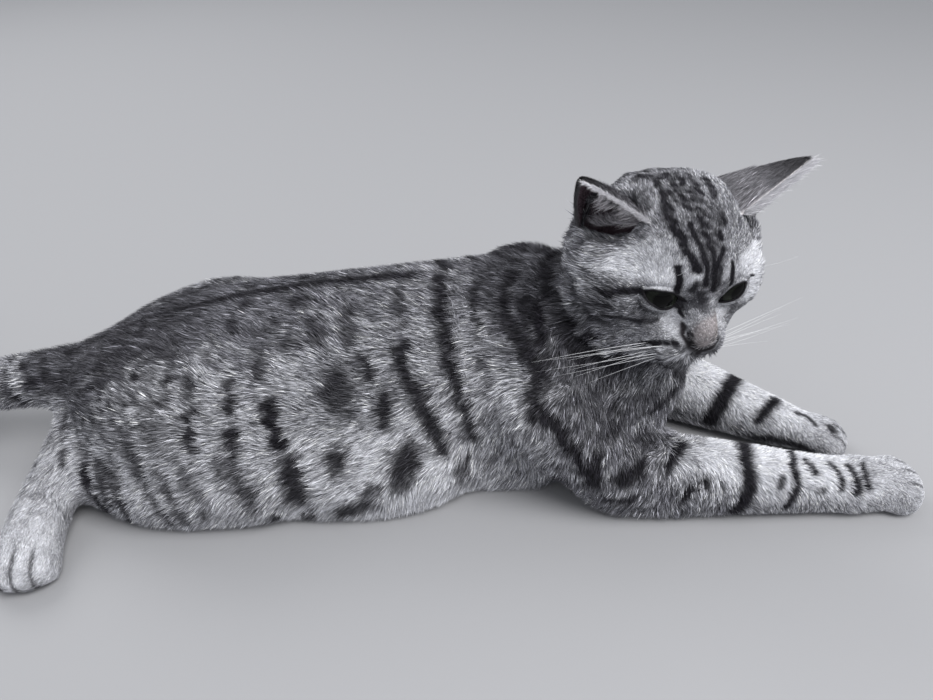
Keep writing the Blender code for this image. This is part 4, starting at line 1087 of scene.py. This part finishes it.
# Hair of the ears: short on the back of the leaf, a pale fringe along its rims, and long pale hairs that
# spring from the front rim and the root and sweep across the hollow.
for side, name in ((-1, "coat_right_ear"), (1, "coat_left_ear")):
    dice = np.random.default_rng(200 + side)
    sorts = []
    for count, low, high, long_low, long_high, kind in (
        (7000, (-0.97, -0.12), (0.97, 0.99), 0.0028, 0.0045, "back"),
        (4300, (-0.97, -0.30), (0.97, 0.38), 0.0035, 0.0065, "base"),
        (2600, (-1.0, 0.0), (-0.965, 1.0), 0.0025, 0.0065, "rim"),
        (1300, (0.90, 0.0), (1.0, 1.0), 0.0025, 0.0055, "rim"),
        (3500, (-0.98, -0.04), (-0.84, 0.93), 0.007, 0.024, "inside"),
        (900, (-1.0, 0.0), (0.4, 0.0), 0.006, 0.012, "tuft"),
        (2600, (-0.9, 0.05), (0.95, 0.97), 0.0015, 0.0028, "lining"),
    ):
        across_leaf = dice.uniform(low[0], high[0], count)
        up_leaf = dice.uniform(low[1], high[1], count)
        step = 0.02
        safe = np.minimum(up_leaf, 0.95)
        tall = unit(ear_leaf(across_leaf, safe + step, side) - ear_leaf(across_leaf, safe - step, side))
        wide = unit(ear_leaf(across_leaf + step, safe, side) - ear_leaf(across_leaf - step, safe, side))
        facing = ear_facing(across_leaf, up_leaf, side)
        surface = EAR_THICKNESS * 0.45 * np.sqrt(np.clip(1 - across_leaf**4, 0, 1))[:, None]
        long = dice.uniform(long_low, long_high, count)
        if kind == "back":
            root, up, way = ear_leaf(across_leaf, up_leaf, side) + facing * surface, facing, tall
            tint = np.array([0.165, 0.16, 0.175]) * (0.5 + 1.0 * dice.random((count, 1)))
            tint = tint * (1 - 0.75 * smooth_step(0.25, 0.95, up_leaf))[:, None]
            raised = long * dice.uniform(0.08, 0.30, count)
        elif kind == "base":
            root, up, way = ear_leaf(across_leaf, up_leaf, side) + facing * surface, facing, tall
            tint = np.array([0.20, 0.195, 0.21]) * np.exp(0.6 * dice.normal(size=(count, 1)))
            raised = long * dice.uniform(0.10, 0.40, count)
            long = long * (1 - 0.4 * smooth_step(0.1, 0.38, up_leaf)) * (1.0 if side < 0 else 1.5)
        elif kind == "rim":
            out = wide * np.sign(across_leaf)[:, None]
            root, up = ear_leaf(across_leaf, up_leaf, side), out
            way = unit(tall + (0.35 if side < 0 else 0.9) * out)
            long = long * (1.0 if side < 0 else 1.4)
            tint = np.array([0.84, 0.83, 0.86]) * (0.6 + 0.5 * dice.random((count, 1)))
            tint = tint * np.where((across_leaf > 0) & (side < 0), 0.22, 1.0)[:, None]
            raised = long * dice.uniform(0.1, 0.5, count)
        elif kind == "inside":
            root = ear_leaf(across_leaf, up_leaf, side) - facing * surface
            up = unit(((EAR_FRONT + EAR_OUTER) / 2 - EAR_BACKS[side]) * (1, side, 1)) + 0 * root
            lock = np.floor((up_leaf + 0.04) * 40 + 0.3 * dice.random(count)).astype(int)
            lock_dice = dice.random((42, 3))[lock]
            end_up = lock / 40 - 0.19 + 0.03 * lock_dice[:, 0] + 0.005 * dice.normal(size=count)
            end_up = np.clip(end_up, -0.1, 0.93)
            front, outer, rear = (ear_leaf(share + 0 * end_up, end_up, side) for share in (-1.0, 1.0, 0.0))
            over = 0.22 + 0.55 * lock_dice[:, 1:2] * dice.uniform(0.6, 1.1, (count, 1))
            inward = (rear - (front + outer) / 2) * dice.uniform(0.10, 0.35, (count, 1))
            end = front + (outer - front) * over + inward
            way = unit(end - root + 0.0006 * dice.normal(size=(count, 3)))
            long = np.linalg.norm(end - root, axis=1) * dice.uniform(0.55, 1.0, count)
            pale = np.where(lock_dice[:, 2] > 0.50, 1.0, 0.08) * np.exp(0.40 * dice.normal(size=count))
            tint = np.array([0.86, 0.83, 0.86]) * np.clip(pale, 0.06, 1.05)[:, None]
            raised = long * (0.18 * (lock_dice[:, 2] > 0.50) + dice.uniform(-0.04, 0.04, count))
        elif kind == "tuft":
            chord = EAR_FRONT + (EAR_OUTER - EAR_FRONT) * dice.uniform(0.05, 0.75, (count, 1))
            chord = chord * (1, side, 1)
            inward = unit((EAR_BACKS[side] - (EAR_FRONT + EAR_OUTER) / 2) * (1, side, 1))
            root, up = chord - 0.002 * tall + 0.002 * inward, -inward + 0 * chord
            way = unit(tall + 0.5 * inward + 0.25 * dice.normal(size=(count, 3)))
            tint = np.array([0.40, 0.385, 0.41]) * (0.2 + 1.2 * dice.random((count, 1)))
            raised = long * dice.uniform(0, 0.2, count)
        else:
            root, up, way = ear_leaf(across_leaf, up_leaf, side) - facing * surface, -facing, tall
            tint = np.array([0.38, 0.31, 0.34]) * (0.4 + 1.2 * dice.random((count, 1)))
            raised = long * dice.uniform(0.05, 0.3, count)
        if kind not in ("inside", "tuft"):
            way = along_skin(way + 0.16 * dice.normal(size=(count, 3)), up)
        breadth_here = dice.uniform(0.00014, 0.00024, count)
        roll = 0.5 * dice.normal(size=count)
        blades = blade_paths(root, up, way, np.zeros(count), long, raised, breadth_here, roll)
        # Ear hairs too are darker at the root: painted shade among the hairs.
        root_shade_and_ticking = np.array([0.25, 0.8, 1.05] if kind == "inside" else [0.7, 1.0, 0.95]) * np.ones((count, 1))
        unwrap = np.stack([across_leaf * 0.24 + (0.25 if kind == "back" else 0.75), up_leaf * 0.45 + 0.3], -1)
        sorts.append((blades, tint, root_shade_and_ticking, unwrap))
    blades, tint, root_shade_and_ticking, unwrap = (np.concatenate([sort[k] for sort in sorts]) for k in range(4))
    blades = from_head(blades.reshape(-1, 3)).reshape(-1, 4, 3)
    hair_piece(name, blades, tint, root_shade_and_ticking, unwrap)

# ---- The eyes -------------------------------------------------------------------------------------
# Glossy balls with a bulging front, an olive iris and a wide pupil painted on them. Each is a closed ball
# of rings about its line of sight, which points a little outwards and up from the head's forward.
EYE_OUTWARD, EYE_UP = math.radians(15), math.radians(12)
IRIS_EDGE, PUPIL_EDGE = 49.0, 27.0
BULGE = 0.0005

eye_finish, tree, shader = finish("wet_eye", 0.04, 0.10)
link(tree, tint_of(tree), "Color", shader, "Base Color")

for side, name, node in ((-1, "right_eyeball", "right_eye"), (1, "left_eyeball", "left_eye")):
    rings, around = 60, 72
    angle, turn = np.meshgrid(np.linspace(0, 180, rings), np.arange(around) * 360 / around, indexing="ij")
    level = math.cos(EYE_UP)
    sight = [level * math.cos(EYE_OUTWARD), side * level * math.sin(EYE_OUTWARD), math.sin(EYE_UP)]
    sight = np.array(sight)
    aside = unit(np.cross([0, 0, 1], sight))
    top = np.cross(sight, aside)
    a, t = np.radians(angle)[..., None], np.radians(turn)[..., None]
    ray = sight * np.cos(a) + np.sin(a) * (aside * np.cos(t) + top * np.sin(t))
    radius = EYE_RADIUS - 0.0001 + BULGE * np.exp(-((angle / 34) ** 2))
    ball = from_head((EYE_PLACE * (1, side, 1) + ray * radius[..., None]).reshape(-1, 3))
    k, j = np.arange(rings - 1)[:, None] * around, np.arange(around)
    after = (j + 1) % around
    quads = np.stack([k + j, k + around + j, k + around + after, k + after], -1).reshape(-1, 4)
    mesh = whole_mesh(name, ball, quads.tolist())
    streak = 0.5 + 0.5 * np.sin(np.radians(turn) * 31 + 2 * np.sin(np.radians(turn) * 7))
    iris = smooth_step(PUPIL_EDGE - 1, PUPIL_EDGE + 1.5, angle)
    iris = iris * (1 - smooth_step(IRIS_EDGE - 4, IRIS_EDGE, angle))
    # The iris is streaked, and its upper part is darker than a lighter crescent low on it: painted shade of
    # the brow over the eye.
    low = smooth_step(0.2, -0.9, np.sin(np.radians(turn)))
    iris_streaks_and_shade = (0.55 + 0.45 * streak) * (0.35 + 1.5 * low)
    colour = np.array([0.021, 0.025, 0.018]) * (iris * iris_streaks_and_shade)[..., None]
    colour = colour + np.array([0.0012, 0.0012, 0.0012])
    painted(mesh, colour.reshape(-1, 3))
    turned_out(mesh, 1e-6)
    mesh.shade_smooth()
    mesh.materials.append(eye_finish)
    eyeball = placed(name, mesh)
    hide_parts(node)
    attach(eyeball, "root")

# ---- The whiskers ---------------------------------------------------------------------------------
# Stiff white bristles in rows on the pads beside the nose, and a few over each eye. Each is a fine
# three-sided tube that tapers to its tip and bows a little under its own spring.
whisker_finish, tree, shader = finish("white_bristle", 0.35, 0.5)
shader.inputs["Base Color"].default_value = (0.86, 0.86, 0.88, 1)
BRISTLE_ROWS = 12


def bristle(root, way, sag, long, thick):
    """A tube about root + way s + sag (s/long)^2, its radius falling evenly from thick to a tenth."""
    share = np.linspace(0, 1, BRISTLE_ROWS)[:, None, None]
    path = root + way * (share * long) + sag * share**2
    side = unit(np.cross(way, sag + 1e-6))
    top = np.cross(side, way)
    turn = np.radians([0, 120, 240])[None, :, None]
    ring = (side * np.cos(turn) + top * np.sin(turn)) * thick * (1 - 0.9 * share)
    return (path + ring).reshape(-1, 3)


dice = np.random.default_rng(77)
own = in_head(places)
tubes = []
for side in (-1, 1):
    for row, (height, columns) in enumerate(((-0.0180, 1), (-0.0215, 3), (-0.0245, 3), (-0.0270, 2))):
        for column in range(columns if side < 0 else 2):
            guess = np.array([0.0450 - 0.0035 * column, side * (0.0150 + 0.0022 * column), height])
            root = own[np.argmin(((own - guess) ** 2).sum(1))]
            rise = (-0.22 if side < 0 else 0.20) - 0.15 * row + 0.04 * dice.normal()
            way = unit(np.array([-0.20 - 0.05 * column + 0.05 * dice.normal(), side * 1.0, rise]))
            long = dice.uniform(0.048, 0.070) * (1 - 0.12 * abs(row - 1.3))
            sag = np.array([-0.06, 0, -0.13 + 0.04 * dice.normal()]) * long
            tubes.append(bristle(root, way, sag, long, 0.00016 if side < 0 else 0.00011))
    for column in range(2):
        guess = np.array([0.0300, side * (0.0150 + 0.0022 * column), 0.0180])
        root = own[np.argmin(((own - guess) ** 2).sum(1))]
        way = unit(np.array([0.65, side * (0.25 + 0.18 * column), 0.65]) + 0.08 * dice.normal(size=3))
        long = dice.uniform(0.022, 0.036)
        tubes.append(bristle(root, way, np.array([-0.2, side * 0.15, 0.10]) * long, long, 0.00009))
k, j = np.arange(BRISTLE_ROWS - 1)[:, None] * 3, np.arange(3)
ring_faces = np.stack([k + j, k + (j + 1) % 3, k + 3 + (j + 1) % 3, k + 3 + j], -1).reshape(-1, 4)
corners = from_head(np.concatenate(tubes))
quads = (np.arange(len(tubes))[:, None, None] * BRISTLE_ROWS * 3 + ring_faces).reshape(-1, 4)
last = 3 * BRISTLE_ROWS - 3
caps = ((2, 1, 0), (last, last + 1, last + 2))
ends = [[n * BRISTLE_ROWS * 3 + c for c in cap] for n in range(len(tubes)) for cap in caps]
mesh = whole_mesh("whiskers", corners, quads.tolist() + ends)
turned_out(mesh)
mesh.shade_smooth()
mesh.materials.append(whisker_finish)
whiskers = placed("whiskers", mesh)
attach(whiskers, "root")

# ---- Floor, light and camera ----------------------------------------------------------------------
# A plain pale floor in soft studio light, seen from beside the cat a little above its head.
CAMERA_PLACE = (0.0, -0.385, 0.346)
LOOKS_DOWN = math.radians(35.6)
ROLL = math.radians(-1.35)
LENS = 28.75

floor_mesh = whole_mesh("floor", [(-6, -6, 0), (6, -6, 0), (6, 6, 0), (-6, 6, 0)], [(0, 1, 2, 3)])
floor = placed("floor", floor_mesh)
plain, tree, shader = finish("pale_floor", 0.7, 0.3)
shader.inputs["Base Color"].default_value = (0.30, 0.30, 0.31, 1)
floor_mesh.materials.append(plain)

world = bpy.data.worlds.new("studio")
world.use_nodes = True
world.node_tree.nodes["Background"].inputs["Color"].default_value = (0.92, 0.95, 1.0, 1)
world.node_tree.nodes["Background"].inputs["Strength"].default_value = 0.70
bpy.context.scene.world = world
bpy.context.scene.view_settings.view_transform = "Standard"
for name, place, size, watts in (
    ("window", (0.7, -0.7, 1.7), 1.1, 42),
    ("rim", (-1.1, 1.1, 1.4), 1.2, 16),
):
    light = bpy.data.lights.new(name, "AREA")
    light.size = size
    light.energy = watts
    lamp = placed(name, light)
    lamp.location = place
    lamp.rotation_euler = (Vector((0, 0, 0.08)) - Vector(place)).to_track_quat("-Z", "Y").to_euler()

view = bpy.data.cameras.new("camera")
view.sensor_width = 36
view.lens = LENS
view.clip_start = 0.01
camera = placed("camera", view)
camera.location = CAMERA_PLACE
tilt = Matrix.Rotation(math.pi / 2 - LOOKS_DOWN, 3, "X") @ Matrix.Rotation(ROLL, 3, "Z")
camera.rotation_euler = tilt.to_euler()
bpy.context.scene.camera = camera
